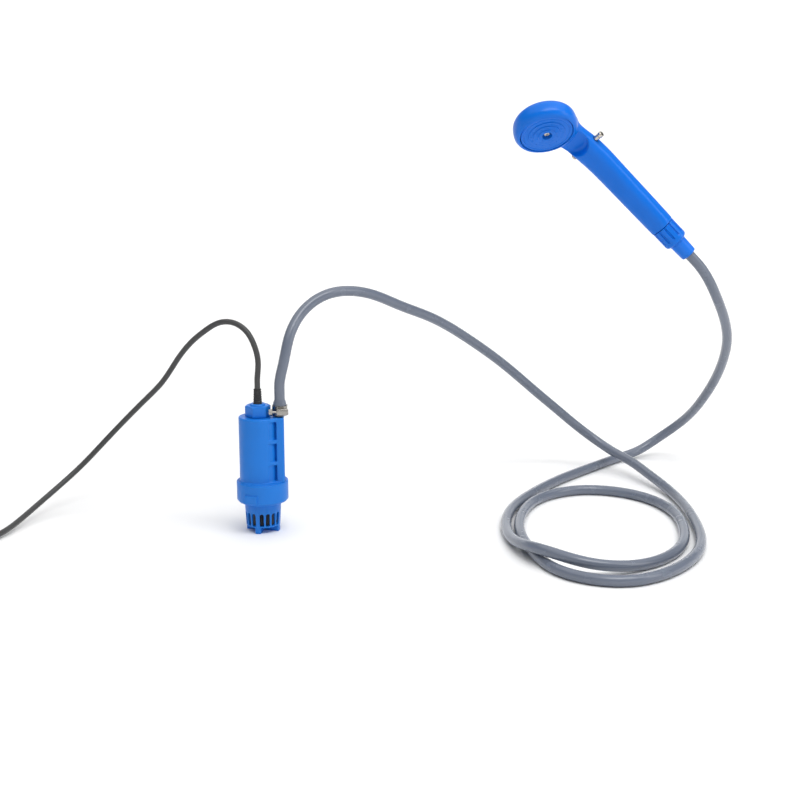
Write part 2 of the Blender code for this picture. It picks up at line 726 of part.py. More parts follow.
def union_joint(frames):
    """Nut, thrust ring, washer and hose tail: the hose unscrews from the handset here."""
    axis = frames["tail"]
    mouth = GAP + 0.0001
    bore = THREAD_RADIUS + TURN_GAP
    lip_bore = COLLAR_RADIUS + TURN_GAP
    foot = mouth + NUT_LENGTH
    lip = foot - NUT_LIP_LENGTH
    nut = make_object("union_nut", lathe((
        (bore, mouth), (NUT_RADIUS - 0.0004, mouth), (NUT_RADIUS, mouth + 0.0004),
        (NUT_RADIUS, foot - 0.0026), (NUT_RADIUS - 0.0004, foot - 0.0012), (NUT_RADIUS - 0.0014, foot),
        (lip_bore, foot), (lip_bore, lip), (bore, lip),
    ), 24), "blue", axis, 30.0)
    flutes = bmesh.new()
    flute_radius = (FLUTE_WIDTH ** 2 / 4 + FLUTE_DEPTH ** 2) / (2 * FLUTE_DEPTH)
    for i in range(NUT_FLUTES):
        angle = 2 * math.pi * i / NUT_FLUTES
        out = polar(1.0, angle)
        side = polar(1.0, angle + math.pi / 2)
        ends = ((mouth - THROUGH, 1.0), (foot - 0.0056, 1.0), (foot - 0.0036, 0.25))
        loft([circle(out * (NUT_RADIUS - FLUTE_DEPTH * share + flute_radius) + Vector((0, 0, z)),
                     flute_radius, 10, side, out) for z, share in ends], flutes)
    combine(nut, make_object("flute_cutter", flutes, None, axis))

    washer_low = THREAD_LENGTH + GAP
    flange_low = washer_low + WASHER_THICKNESS + GAP
    flange_high = flange_low + FLANGE_THICKNESS
    ring_low = flange_high + GAP
    ring_high = ring_low + THRUST_RING_THICKNESS
    make_object("union_washer", ring(TAIL_BORE_RADIUS, THREAD_RADIUS - 0.0006, washer_low,
                                     washer_low + WASHER_THICKNESS, 20), "rubber", axis)
    make_object("thrust_ring", ring(lip_bore, THREAD_RADIUS, ring_low, ring_high, 20), "white", axis)
    end = COLLAR_LENGTH
    socket = end - SOCKET_DEPTH
    make_object("hose_tail", lathe((
        (TAIL_WATER_RADIUS, flange_low), (THREAD_RADIUS - 0.0001, flange_low), (THREAD_RADIUS - 0.0001, flange_high),
        (COLLAR_RADIUS, flange_high), (COLLAR_RADIUS, foot), (COLLAR_END_RADIUS + 0.0002, end - 0.0022),
        (COLLAR_END_RADIUS - 0.0005, end - 0.0006), (COLLAR_END_RADIUS - 0.0014, end),
        (HOSE_RADIUS + GAP, end), (HOSE_RADIUS + GAP, socket), (NIPPLE_RADIUS - 0.0003, socket),
        (NIPPLE_RADIUS, socket + 0.5 * NIPPLE_LENGTH), (NIPPLE_RADIUS - 0.0003, socket + 0.55 * NIPPLE_LENGTH),
        (NIPPLE_RADIUS, socket + 0.9 * NIPPLE_LENGTH), (TAIL_WATER_RADIUS, socket + NIPPLE_LENGTH),
    ), 16), "blue", axis)
    make_object("hose_upper_end", ring(HOSE_BORE, HOSE_RADIUS, socket + GAP, end, 16), "hose", axis)
    return axis.matrix_world @ Vector((0, 0, end + GAP)), axis.matrix_world.to_3x3() @ Vector((0, 0, 1))


GLAND_CORNER = GLAND_ACROSS_FLATS / math.sqrt(3)
CLAMP_REACH = HOSE_ON_SPIGOT + GAP + CLAMP_BAND + CLAMP_EDGE
SPIGOT_X = GLAND_CORNER + CLAMP_TO_GLAND + CLAMP_REACH
RISER_RIGHT = SPIGOT_X + RISER_BEYOND_SPIGOT
RISER_LEFT = HOUSING_RADIUS - RISER_INTO_CASE


def riser_tangent():
    """Where the flat web to the riser leaves the round case, as an angle from the riser's side."""
    reach = math.hypot(RISER_LEFT, RISER_HALF_WIDTH)
    return math.atan2(RISER_HALF_WIDTH, RISER_LEFT) + math.acos(HOUSING_RADIUS / reach)


def housing_outline(height, inset=0.0):
    """The pump body seen from above: a round motor case with a riser column at its right."""
    tangent = riser_tangent()
    round_steps, corner_steps = 18, 3
    right, half = RISER_RIGHT - inset, RISER_HALF_WIDTH - inset
    points = [polar(HOUSING_RADIUS - inset, tangent + 2 * (math.pi - tangent) * i / round_steps, height)
              for i in range(round_steps + 1)]
    points.append(Vector((RISER_LEFT, -half, height)))
    corner = Vector((right - RISER_CORNER, -half + RISER_CORNER, height))
    points += [corner + polar(RISER_CORNER, math.pi / 2 * (i / corner_steps - 1)) for i in range(corner_steps + 1)]
    points += [Vector((point.x, -point.y, height)) for point in points[:round_steps:-1]]
    return points


def pocket_outline(side, height):
    """A pocket cuts the web back to the round case; its right wall is the riser's own."""
    near, far = riser_tangent() - math.radians(4.0), math.asin(0.58 * RISER_HALF_WIDTH / HOUSING_RADIUS)
    arc_steps = 4
    points = [polar(HOUSING_RADIUS, near + (far - near) * i / arc_steps) for i in range(arc_steps + 1)]
    points.append(Vector((RISER_LEFT + 0.0003, RISER_HALF_WIDTH + THROUGH, 0)))
    points.append(polar(HOUSING_RADIUS + THROUGH, near))
    return [Vector((point.x, side * point.y, height)) for point in points]


def pump_frames():
    turned = Matrix.Rotation(PUMP_TURN, 3, "Z")
    along_x = turned @ Vector((1, 0, 0))
    return {
        "pump": frame("pump", PUMP_AT, (0, 0, 1), along_x),
        "lower": frame("lower_axis", PUMP_AT + LOWER_AXIS_X * along_x, (0, 0, 1), along_x),
        "outlet": frame("outlet_axis", PUMP_AT + SPIGOT_X * along_x, (0, 0, 1), along_x),
    }


SHELL_INNER = COLLAR_SHELL_RADIUS - COLLAR_SHELL_WALL
PLUG_RADIUS = SHELL_INNER - GAP
CHAMBER_BOTTOM = PLUG_BOTTOM - CHAMBER_HEIGHT
NUT_BOTTOM = HOUSING_TOP + GAP
BOSS_TOP = HOUSING_TOP + GLAND_BOSS_HEIGHT
ORING_GROOVE_LOW = PLUG_BOTTOM + 0.0025
ORING_GROOVE_HIGH = ORING_GROOVE_LOW + 0.0024


def pump_housing(frames):
    housing = make_object("pump_housing", loft([
        housing_outline(HOUSING_BOTTOM), housing_outline(HOUSING_TOP - TOP_CHAMFER),
        housing_outline(HOUSING_TOP, TOP_CHAMFER),
    ]), "pump_blue", frames["pump"], 30.0)
    edges = [POCKET_BOTTOM]
    for level in RIB_LEVELS:
        edges += [level - RIB_THICKNESS / 2, level + RIB_THICKNESS / 2]
    edges.append(POCKET_TOP)
    pockets = bmesh.new()
    for side in (-1, 1):
        for low, high in zip(edges[::2], edges[1::2]):
            loft([pocket_outline(side, low), pocket_outline(side, high)], pockets)
    combine(housing, make_object("pocket_cutter", pockets, None, frames["pump"]))

    groove = PLUG_RADIUS - HOUSING_GROOVE_DEPTH
    plug = make_object("housing_plug", lathe((
        (0, PLUG_BOTTOM), (PLUG_RADIUS, PLUG_BOTTOM), (PLUG_RADIUS, ORING_GROOVE_LOW), (groove, ORING_GROOVE_LOW),
        (groove, ORING_GROOVE_HIGH), (PLUG_RADIUS, ORING_GROOVE_HIGH), (PLUG_RADIUS, HOUSING_BOTTOM),
        (PLUG_RADIUS - OVERLAP, HOUSING_BOTTOM + OVERLAP / 2), (0, HOUSING_BOTTOM + OVERLAP / 2),
    ), 32), None, frames["lower"])
    combine(housing, plug, "UNION")
    boss = make_object("gland_boss", rod(GLAND_BOSS_RADIUS, HOUSING_TOP - OVERLAP, BOSS_TOP, 24, 0.0005),
                       None, frames["pump"])
    combine(housing, boss, "UNION")
    barbs = [(0, HOUSING_TOP - OVERLAP), (SPIGOT_RADIUS - SPIGOT_BARB, HOUSING_TOP - OVERLAP)]
    barb_count = 2
    for i in range(barb_count):
        low = HOUSING_TOP + SPIGOT_LENGTH * (i + 0.35) / barb_count
        barbs += [(SPIGOT_RADIUS - SPIGOT_BARB, low), (SPIGOT_RADIUS, low + 0.0004)]
    barbs += [(SPIGOT_RADIUS - 0.0009, HOUSING_TOP + SPIGOT_LENGTH), (0, HOUSING_TOP + SPIGOT_LENGTH)]
    combine(housing, make_object("spigot", lathe(barbs, 14), None, frames["outlet"]), "UNION")

    motor_bore = make_object("motor_bore_cutter", rod(
        MOTOR_BORE_RADIUS, PLUG_BOTTOM - THROUGH, MOTOR_BORE_TOP, 28,
    ), None, frames["pump"])
    combine(housing, motor_bore)
    cable_bore = make_object("cable_bore_cutter", rod(
        CABLE_RADIUS + GAP, MOTOR_BORE_TOP - OVERLAP, BOSS_TOP + THROUGH, 12,
    ), None, frames["pump"])
    combine(housing, cable_bore)
    duct = make_object("duct_cutter", rod(
        DUCT_RADIUS, PLUG_BOTTOM - THROUGH, HOUSING_TOP + SPIGOT_LENGTH + THROUGH, 12,
    ), None, frames["outlet"])
    combine(housing, duct)

    wire = (HOUSING_GROOVE_DEPTH - GAP) / 2
    middle_radius = PLUG_RADIUS - wire
    height = 0.5 * (ORING_GROOVE_LOW + ORING_GROOVE_HIGH)
    make_object("housing_oring", lathe([
        (middle_radius + wire * math.cos(t), height + wire * math.sin(t))
        for t in (2 * math.pi * i / 5 for i in range(5))
    ], 24), "rubber", frames["lower"])


def lower_casing(frames):
    """The collar round the foot of the pump: it holds the impeller's chamber and the strainer."""
    low, high = COLLAR_BOTTOM, HOUSING_BOTTOM - 0.0001
    outer = COLLAR_SHELL_RADIUS
    shoulder = [(outer - COLLAR_SHOULDER * (1 - math.cos(t)), high - COLLAR_SHOULDER * (1 - math.sin(t)))
                for t in (math.pi / 2 * i / 3 for i in range(4))]
    shoulder[-1] = (SHELL_INNER, high)
    opening = NECK_RADIUS + GAP
    casing = make_object("lower_casing", lathe([
        (opening, low), (outer - 0.0021, low), (outer - 0.0011, low + 0.0006), (outer - 0.0008, low + COLLAR_LIP),
        (outer, low + COLLAR_LIP + 0.0003), *shoulder,
        (SHELL_INNER, low + COLLAR_FLANGE), (opening, low + COLLAR_FLANGE),
    ], 36), "pump_blue", frames["lower"], 30.0)
    pad = make_object("pad_block", block(
        polar(outer - 0.0008, PAD_TURN, low + COLLAR_LIP + 0.0006 + PAD_HEIGHT / 2),
        (0.0016 + 2 * PAD_RISE, PAD_WIDTH, PAD_HEIGHT), PAD_TURN, 0.0003,
    ), None, frames["lower"])
    combine(casing, pad, "UNION")
    notches = bmesh.new()
    for i in range(FIN_COUNT):
        angle = FIN_FIRST + TWIST + 2 * math.pi * i / FIN_COUNT
        width = 2 * (NECK_RADIUS + LUG_REACH) * math.sin(LUG_ANGLE / 2) + 0.0014
        block(polar(NECK_RADIUS, angle, low + COLLAR_FLANGE / 2),
              (2 * (LUG_REACH + 0.0005), width, 2 * COLLAR_FLANGE), angle, 0.0, notches)
    combine(casing, make_object("bayonet_cutter", notches, None, frames["lower"]))

    plate_low = CHAMBER_BOTTOM - INLET_PLATE_THICKNESS
    plate = make_object("inlet_plate", lathe((
        (0, plate_low), (SHELL_INNER - GAP, plate_low), (SHELL_INNER - GAP, CHAMBER_BOTTOM), (0, CHAMBER_BOTTOM),
    ), 32), "pump_blue", frames["lower"])
    eye = make_object("eye_cutter", rod(INLET_EYE_RADIUS, plate_low - THROUGH, PLUG_BOTTOM - GAP, 20),
                      None, frames["pump"])
    combine(plate, eye)


def strainer(frames):
    """A slotted cup on four crossed fins that keep it off the bottom of the bucket."""
    axis = frames["lower"]
    top = COLLAR_BOTTOM - GAP
    low = STRAINER_BOTTOM
    wall = STRAINER_WALL
    neck_inner = NECK_RADIUS - wall
    cup = make_object("strainer", lathe((
        (0, low), (STRAINER_FOOT_RADIUS - 0.0006, low), (STRAINER_FOOT_RADIUS, low + 0.0006),
        (STRAINER_TOP_RADIUS, top), (NECK_RADIUS, top), (NECK_RADIUS, NECK_TOP), (neck_inner, NECK_TOP),
        (neck_inner, top - wall), (STRAINER_FOOT_RADIUS - wall, low + wall), (0, low + wall),
    ), 32), "pump_blue", axis, 30.0)

    slots = bmesh.new()
    arch_steps = 3
    half = SLOT_WIDTH / 2
    outline = [(-half, SLOT_BOTTOM), (half, SLOT_BOTTOM)]
    outline += [(half * math.cos(t), SLOT_TOP - half + half * math.sin(t))
                for t in (math.pi * i / arch_steps for i in range(arch_steps + 1))]
    sector = 2 * math.pi / FIN_COUNT
    for i in range(FIN_COUNT):
        for j in range(SLOTS_BETWEEN_FINS):
            angle = FIN_FIRST + sector * (i + 0.5) + SLOT_PITCH * (j - (SLOTS_BETWEEN_FINS - 1) / 2)
            out, side = polar(1, angle), polar(1, angle + math.pi / 2)
            loft([[out * reach + side * across + Vector((0, 0, height)) for across, height in outline]
                  for reach in (neck_inner - 0.001, STRAINER_TOP_RADIUS + THROUGH)], slots)
    combine(cup, make_object("slot_cutter", slots, None, axis))

    fins = bmesh.new()
    points = [FIN_FIRST + sector * i for i in range(FIN_COUNT)]
    reach = STRAINER_FOOT_RADIUS - 0.0002
    star = []
    for angle in points:
        out, side = polar(reach, angle), polar(FIN_FOOT_WIDTH / 2, angle + math.pi / 2)
        star += [out - side, out + side, polar(FIN_ROOT_WIDTH, angle + sector / 2)]
    loft([[point + Vector((0, 0, height)) for point in star] for height in (0.0, low + OVERLAP)], fins)
    combine(cup, make_object("fin_star", fins, None, axis), "UNION")

    lugs = bmesh.new()
    lug_low = COLLAR_BOTTOM + COLLAR_FLANGE + GAP
    for angle in points:
        width = 2 * (NECK_RADIUS + LUG_REACH) * math.sin(LUG_ANGLE / 2)
        block(polar(NECK_RADIUS + LUG_REACH / 2 - OVERLAP, angle, lug_low + LUG_HEIGHT / 2),
              (LUG_REACH + OVERLAP, width, LUG_HEIGHT), angle, 0.0, lugs)
    combine(cup, make_object("lug_blocks", lugs, None, axis), "UNION")


def motor(frames):
    """A brushed can motor in the case, its shaft carrying the impeller below."""
    axis = frames["pump"]
    low = PLUG_BOTTOM + GAP
    plate_top = low + SEAL_PLATE_THICKNESS
    seal_radius, seal_height = 0.0048, 0.0030
    seal_low = low + 0.0008
    shaft_bore = SHAFT_RADIUS + TURN_GAP
    make_object("seal_plate", lathe((
        (shaft_bore, low), (MOTOR_BORE_RADIUS - GAP, low), (MOTOR_BORE_RADIUS - GAP, plate_top),
        (seal_radius + GAP, plate_top), (seal_radius + GAP, seal_low - GAP), (shaft_bore, seal_low - GAP),
    ), 20), "black", axis)
    make_object("shaft_seal", lathe((
        (shaft_bore, seal_low), (seal_radius, seal_low), (seal_radius, seal_low + seal_height),
        (seal_radius - 0.0012, seal_low + seal_height), (shaft_bore + 0.0010, seal_low + 0.0012),
        (shaft_bore, seal_low + 0.0009),
    ), 14), "rubber", axis)

    can_low = plate_top + GAP
    can_top = can_low + CAN_LENGTH
    inner = CAN_RADIUS - CAN_WALL
    boss = BEARING_RADIUS + GAP
    make_object("motor_can", lathe((
        (boss, can_low), (CAN_RADIUS, can_low), (CAN_RADIUS, can_top), (inner, can_top),
        (inner, can_low + 0.0012), (boss + 0.0012, can_low + 0.0012), (boss + 0.0012, can_low + BEARING_LENGTH),
        (boss, can_low + BEARING_LENGTH),
    ), 20), "steel", axis)
    make_object("front_bearing", ring(shaft_bore, BEARING_RADIUS, can_low, can_low + BEARING_LENGTH, 16),
                "copper", axis)

    magnet_low = can_low + 0.0045
    for name, facing in (("magnet_left", math.pi), ("magnet_right", 0.0)):
        steps = 10
        turns = [facing + MAGNET_ANGLE * (i / steps - 0.5) for i in range(steps + 1)]
        section = [polar(MAGNET_OUTER, t) for t in turns] + [polar(MAGNET_INNER, t) for t in reversed(turns)]
        make_object(name, loft([[point + Vector((0, 0, z)) for point in section]
                                for z in (magnet_low, magnet_low + MAGNET_LENGTH)]), "magnet", axis)

    core_low = magnet_low + 0.0015
    core = []
    half_pole = math.pi / ARMATURE_POLES
    for i in range(ARMATURE_POLES):
        middle = 2 * half_pole * i
        for share in (-0.80, -0.27, 0.27, 0.80):
            core.append(polar(ARMATURE_RADIUS, middle + share * half_pole))
        core.append(polar(0.62 * ARMATURE_RADIUS, middle + 0.86 * half_pole))
        core.append(polar(0.62 * ARMATURE_RADIUS, middle + 1.14 * half_pole))
    armature = make_object("armature", loft([[point + Vector((0, 0, z)) for point in core]
                                             for z in (core_low, core_low + ARMATURE_LENGTH)]), "lamination", axis)
    shaft_hole = make_object("armature_bore_cutter", rod(
        SHAFT_RADIUS + GAP, core_low - THROUGH, core_low + ARMATURE_LENGTH + THROUGH, 12,
    ), None, axis)
    combine(armature, shaft_hole)

    commutator_low = core_low + ARMATURE_LENGTH + 0.0006
    commutator_high = commutator_low + COMMUTATOR_LENGTH
    make_object("commutator", ring(shaft_bore, COMMUTATOR_RADIUS, commutator_low, commutator_high, 16), "copper", axis)

    cap_low = can_top + GAP
    cap_high = cap_low + END_CAP_THICKNESS
    make_object("motor_end_cap", ring(boss, CAN_RADIUS, cap_low, cap_high, 20), "black", axis)
    make_object("rear_bearing", ring(shaft_bore, BEARING_RADIUS, cap_low, cap_high, 16), "copper", axis)
    brush_size = Vector((0.0040, 0.0030, 0.0032))
    brush_reach = COMMUTATOR_RADIUS + TURN_GAP + brush_size.x / 2
    brush_z = 0.5 * (commutator_low + commutator_high)
    holder_x = brush_reach + 0.0010
    for name, side in (("brush_left", -1), ("brush_right", 1)):
        make_object(name, block((side * brush_reach, 0, brush_z), brush_size), "carbon", axis)
        arm_low = brush_z + brush_size.z / 2 + GAP
        make_object(name + "_holder", block(
            (side * holder_x, 0, 0.5 * (arm_low + cap_low - GAP)), (0.0030, 0.0036, cap_low - GAP - arm_low),
        ), "black", axis)
    cushion_low = cap_high + GAP
    make_object("motor_cushion", ring(0.0070, CAN_RADIUS, cushion_low, MOTOR_BORE_TOP - GAP, 20), "rubber", axis)
    return can_low, cap_high


def rotor(frames, cap_high):
    axis = frames["pump"]
    disc_high = PLUG_BOTTOM - 0.0004
    disc_low = disc_high - IMPELLER_DISC
    vane_low = disc_high - IMPELLER_HEIGHT
    hub_radius = 0.0030
    make_object("motor_shaft", rod(SHAFT_RADIUS, vane_low + 0.0004, cap_high + 0.0008, 12), "steel", axis)
    bore = SHAFT_RADIUS + GAP
    impeller = make_object("impeller", lathe((
        (bore, vane_low), (hub_radius, vane_low), (hub_radius, disc_low), (IMPELLER_RADIUS, disc_low),
        (IMPELLER_RADIUS, disc_high), (bore, disc_high),
    ), 18), "white", axis)
    vanes = bmesh.new()
    steps = 3
    for i in range(IMPELLER_VANES):
        start = 2 * math.pi * i / IMPELLER_VANES
        line = []
        for j in range(steps + 1):
            share = j / steps
            radius = hub_radius - OVERLAP / 2 + (0.94 * IMPELLER_RADIUS - hub_radius) * share
            line.append(polar(radius, start - 0.85 * share ** 1.2))
        half = VANE_THICKNESS / 2
        sides = []
        for j, point in enumerate(line):
            before, after = line[max(j - 1, 0)], line[min(j + 1, steps)]
            ahead = (after - before).normalized()
            sides.append((point + half * Vector((-ahead.y, ahead.x, 0)), point - half * Vector((-ahead.y, ahead.x, 0))))
        outline = [left for left, _ in sides] + [right for _, right in reversed(sides)]
        loft([[point + Vector((0, 0, z)) for point in outline]
              for z in (vane_low, disc_low + IMPELLER_DISC / 2)], vanes)
    combine(impeller, make_object("vane_blades", vanes, None, axis), "UNION")


def gland(frames):
    """The hexagon cap that squeezes a rubber sleeve round the cable."""
    axis = frames["pump"]
    hex_top = NUT_BOTTOM + GLAND_HEX_HEIGHT
    corner = GLAND_CORNER
    hexagon = [polar(corner, GLAND_CORNER_ANGLE + math.pi / 3 * i) for i in range(6)]
    nut = make_object("gland_nut", loft([
        [Vector((p.x * s, p.y * s, z)) for p in hexagon]
        for s, z in ((1.0, NUT_BOTTOM), (1.0, hex_top), (0.90, hex_top + 0.0006), (0.66, hex_top + GLAND_DOME))
    ]), "pump_blue", axis, 30.0)
    roof = hex_top - 0.0020
    inside = make_object("gland_bore_cutter", lathe((
        (0, NUT_BOTTOM - THROUGH), (GLAND_BOSS_RADIUS + GAP, NUT_BOTTOM - THROUGH), (GLAND_BOSS_RADIUS + GAP, roof),
        (SLEEVE_RADIUS + GAP, roof), (SLEEVE_RADIUS + GAP, hex_top + THROUGH), (0, hex_top + THROUGH),
    ), 24), None, axis)
    combine(nut, inside)

    bore = CABLE_RADIUS + GAP
    tip = hex_top + GLAND_DOME + SLEEVE_ABOVE_NUT
    make_object("gland_seal", lathe((
        (bore, BOSS_TOP + GAP), (GLAND_BOSS_RADIUS - GAP, BOSS_TOP + GAP), (GLAND_BOSS_RADIUS - GAP, roof - GAP),
        (SLEEVE_RADIUS, roof - GAP), (SLEEVE_RADIUS, hex_top + GLAND_DOME), (SLEEVE_TOP_RADIUS, tip), (bore, tip),
    ), 16), "rubber", axis)
    make_object("cable_inner_end", rod(CABLE_RADIUS, MOTOR_BORE_TOP - 0.0010, tip, 12), "cable", axis)
    return axis.matrix_world @ Vector((0, 0, tip + GAP))


def hose_outlet(frames):
    """The hose's lower end pushed over the barbed spigot and held by a worm clamp."""
    axis = frames["outlet"]
    low = HOUSING_TOP + GAP
    high = low + HOSE_END_LENGTH
    spigot_end = HOUSING_TOP + SPIGOT_LENGTH + GAP
    grip = SPIGOT_RADIUS + GAP
    make_object("hose_lower_end", lathe((
        (grip, low), (HOSE_ON_SPIGOT, low), (HOSE_ON_SPIGOT, spigot_end - 0.0035), (HOSE_RADIUS, high),
        (HOSE_BORE, high), (HOSE_BORE, spigot_end), (grip, spigot_end),
    ), 16), "hose", axis)

    band_low = low + CLAMP_BOTTOM
    band_high = band_low + CLAMP_WIDTH
    inner = HOSE_ON_SPIGOT + GAP
    outer = inner + CLAMP_BAND
    make_object("clamp_band", lathe((
        (inner, band_low), (outer + CLAMP_EDGE, band_low), (outer, band_low + 2 * CLAMP_EDGE),
        (outer, band_high - 2 * CLAMP_EDGE), (outer + CLAMP_EDGE, band_high), (inner, band_high),
    ), 24), "steel", axis)
    depth = outer + CLAMP_EDGE + GAP + CLAMP_BOX.y / 2
    middle = 0.5 * (band_low + band_high)
    box_x = 0.0022
    housing = make_object("clamp_housing", block((box_x, -depth, middle), CLAMP_BOX, 0.0, 0.0007), "steel", axis)
    screw_bore = CLAMP_SCREW_RADIUS - 0.0004
    half_box = CLAMP_BOX.x / 2
    bore_cutter = make_object("clamp_bore_cutter", rod(
        CLAMP_SCREW_RADIUS - 0.0001, -half_box - THROUGH, half_box + THROUGH, 12,
    ))
    bore_cutter.parent = axis
    along_x = Matrix.Rotation(math.pi / 2, 4, "Y")
    bore_cutter.matrix_local = Matrix.Translation((box_x, -depth, middle)) @ along_x
    combine(housing, bore_cutter)
    head_end = -half_box - 0.0038
    screw = make_object("clamp_screw", lathe((
        (0, head_end - CLAMP_SCREW_HEAD_LENGTH), (CLAMP_SCREW_HEAD - 0.0004, head_end - CLAMP_SCREW_HEAD_LENGTH),
        (CLAMP_SCREW_HEAD, head_end - CLAMP_SCREW_HEAD_LENGTH + 0.0004), (CLAMP_SCREW_HEAD, head_end),
        (screw_bore, head_end), (screw_bore, half_box), (0, half_box),
    ), 12), "steel")
    screw.parent = axis
    screw.matrix_local = Matrix.Translation((box_x, -depth, middle)) @ along_x
    return axis.matrix_world @ Vector((0, 0, high + GAP))


def coil_points():
    """The cable spirals in on the ground, climbs one layer, and spirals out again on top."""
    low = GROUND_Z + TIE_THICKNESS + GAP + CABLE_RADIUS
    total = 2 * math.pi * COIL_TURNS
    count = int(COIL_TURNS * COIL_POINTS_PER_TURN)
    points = []
    for i in range(count + 1):
        turned = total * i / count
        from_middle = turned - total / 2
        radius = COIL_INNER + COIL_PITCH * abs(from_middle) / (2 * math.pi)
        climb = 0.5 + 0.5 * math.sin(max(-math.pi / 2, min(math.pi / 2, from_middle)))
        height = low + COIL_PITCH * climb
        points.append(Vector((COIL_CENTRE.x + radius * math.cos(turned),
                              COIL_CENTRE.y - radius * math.sin(turned), height)))
    return points


def least_gap(points, radius):
    """The least gap between stretches of one cable that lie more than half a turn apart."""
    apart = COIL_POINTS_PER_TURN // 2
    least = min((a - b).length for i, a in enumerate(points) for b in points[i + apart:])
    return least - 2 * radius


def cable_and_coil(start):
    wound = coil_points()
    lead = PLUG_LEAD
    plug_height = PLUG_GRIP_RADIUS + GROUND_Z
    last = wound[-1]
    rise = plug_height - last.z
    for i in range(1, 5):
        share = i / 4
        ease = share * share * (3 - 2 * share)
        wound.append(Vector((last.x, last.y + lead * share, last.z + rise * ease)))
    entry = wound[0] + Vector((0, 2 * CABLE_RADIUS, 0))
    wound.insert(0, entry)
    print(f"coil: least gap to itself {1000 * least_gap(wound, CABLE_RADIUS):.2f} mm")
    tube("cable_coil", wound, CABLE_RADIUS, "cable", 1)
    end = entry + Vector((0, GAP, 0))
    free = cord_path(start, (0, 0, 1), CABLE_ROUTE, end, (0, -1, 0), CABLE_RADIUS, CABLE_SAMPLES)
    tube("cable", free, CABLE_RADIUS, "cable", 2)
    print(f"cable: {path_length(free) + path_length(wound):.3f} m")
    return wound[-1]


def coil_tie():
    """A reusable strap round one side of the coil."""
    across = COIL_PITCH * COIL_TURNS / 2
    corner = CABLE_RADIUS + TIE_SLACK
    half_width = across / 2 + corner
    half_height = COIL_PITCH / 2 + CABLE_RADIUS + GAP
    axis = frame("tie_axis", (COIL_CENTRE.x, COIL_CENTRE.y - COIL_INNER - across / 2,
                              GROUND_Z + TIE_THICKNESS + half_height), (1, 0, 0), (0, 1, 0))
    inner = rounded_box_outline(half_width, half_height, corner)
    outer = rounded_box_outline(half_width + TIE_THICKNESS, half_height + TIE_THICKNESS, corner + TIE_THICKNESS)
    strap = bmesh.new()
    hollow_loft(strap, inner, outer, -TIE_WIDTH / 2, TIE_WIDTH / 2)
    make_object("coil_tie", strap, "black", axis)


def rounded_box_outline(half_width, half_height, radius, steps=3):
    points = []
    for quarter, (sx, sy) in enumerate(((1, 1), (-1, 1), (-1, -1), (1, -1))):
        for i in range(steps + 1):
            turn = math.pi / 2 * (quarter + i / steps)
            points.append((sx * (half_width - radius) + radius * math.cos(turn),
                           sy * (half_height - radius) + radius * math.sin(turn)))
    return points


def hollow_loft(bm, inner, outer, low, high):
    """A band between two closed outlines, from one end height to the other."""
    corners = [[bm.verts.new((x, y, z)) for x, y in outline]
               for outline, z in ((outer, low), (outer, high), (inner, high), (inner, low))]
    count = len(inner)
    for near, far in zip(corners, corners[1:] + corners[:1]):
        for i in range(count):
            j = (i + 1) % count
            bm.faces.new((near[i], near[j], far[j], far[i]))


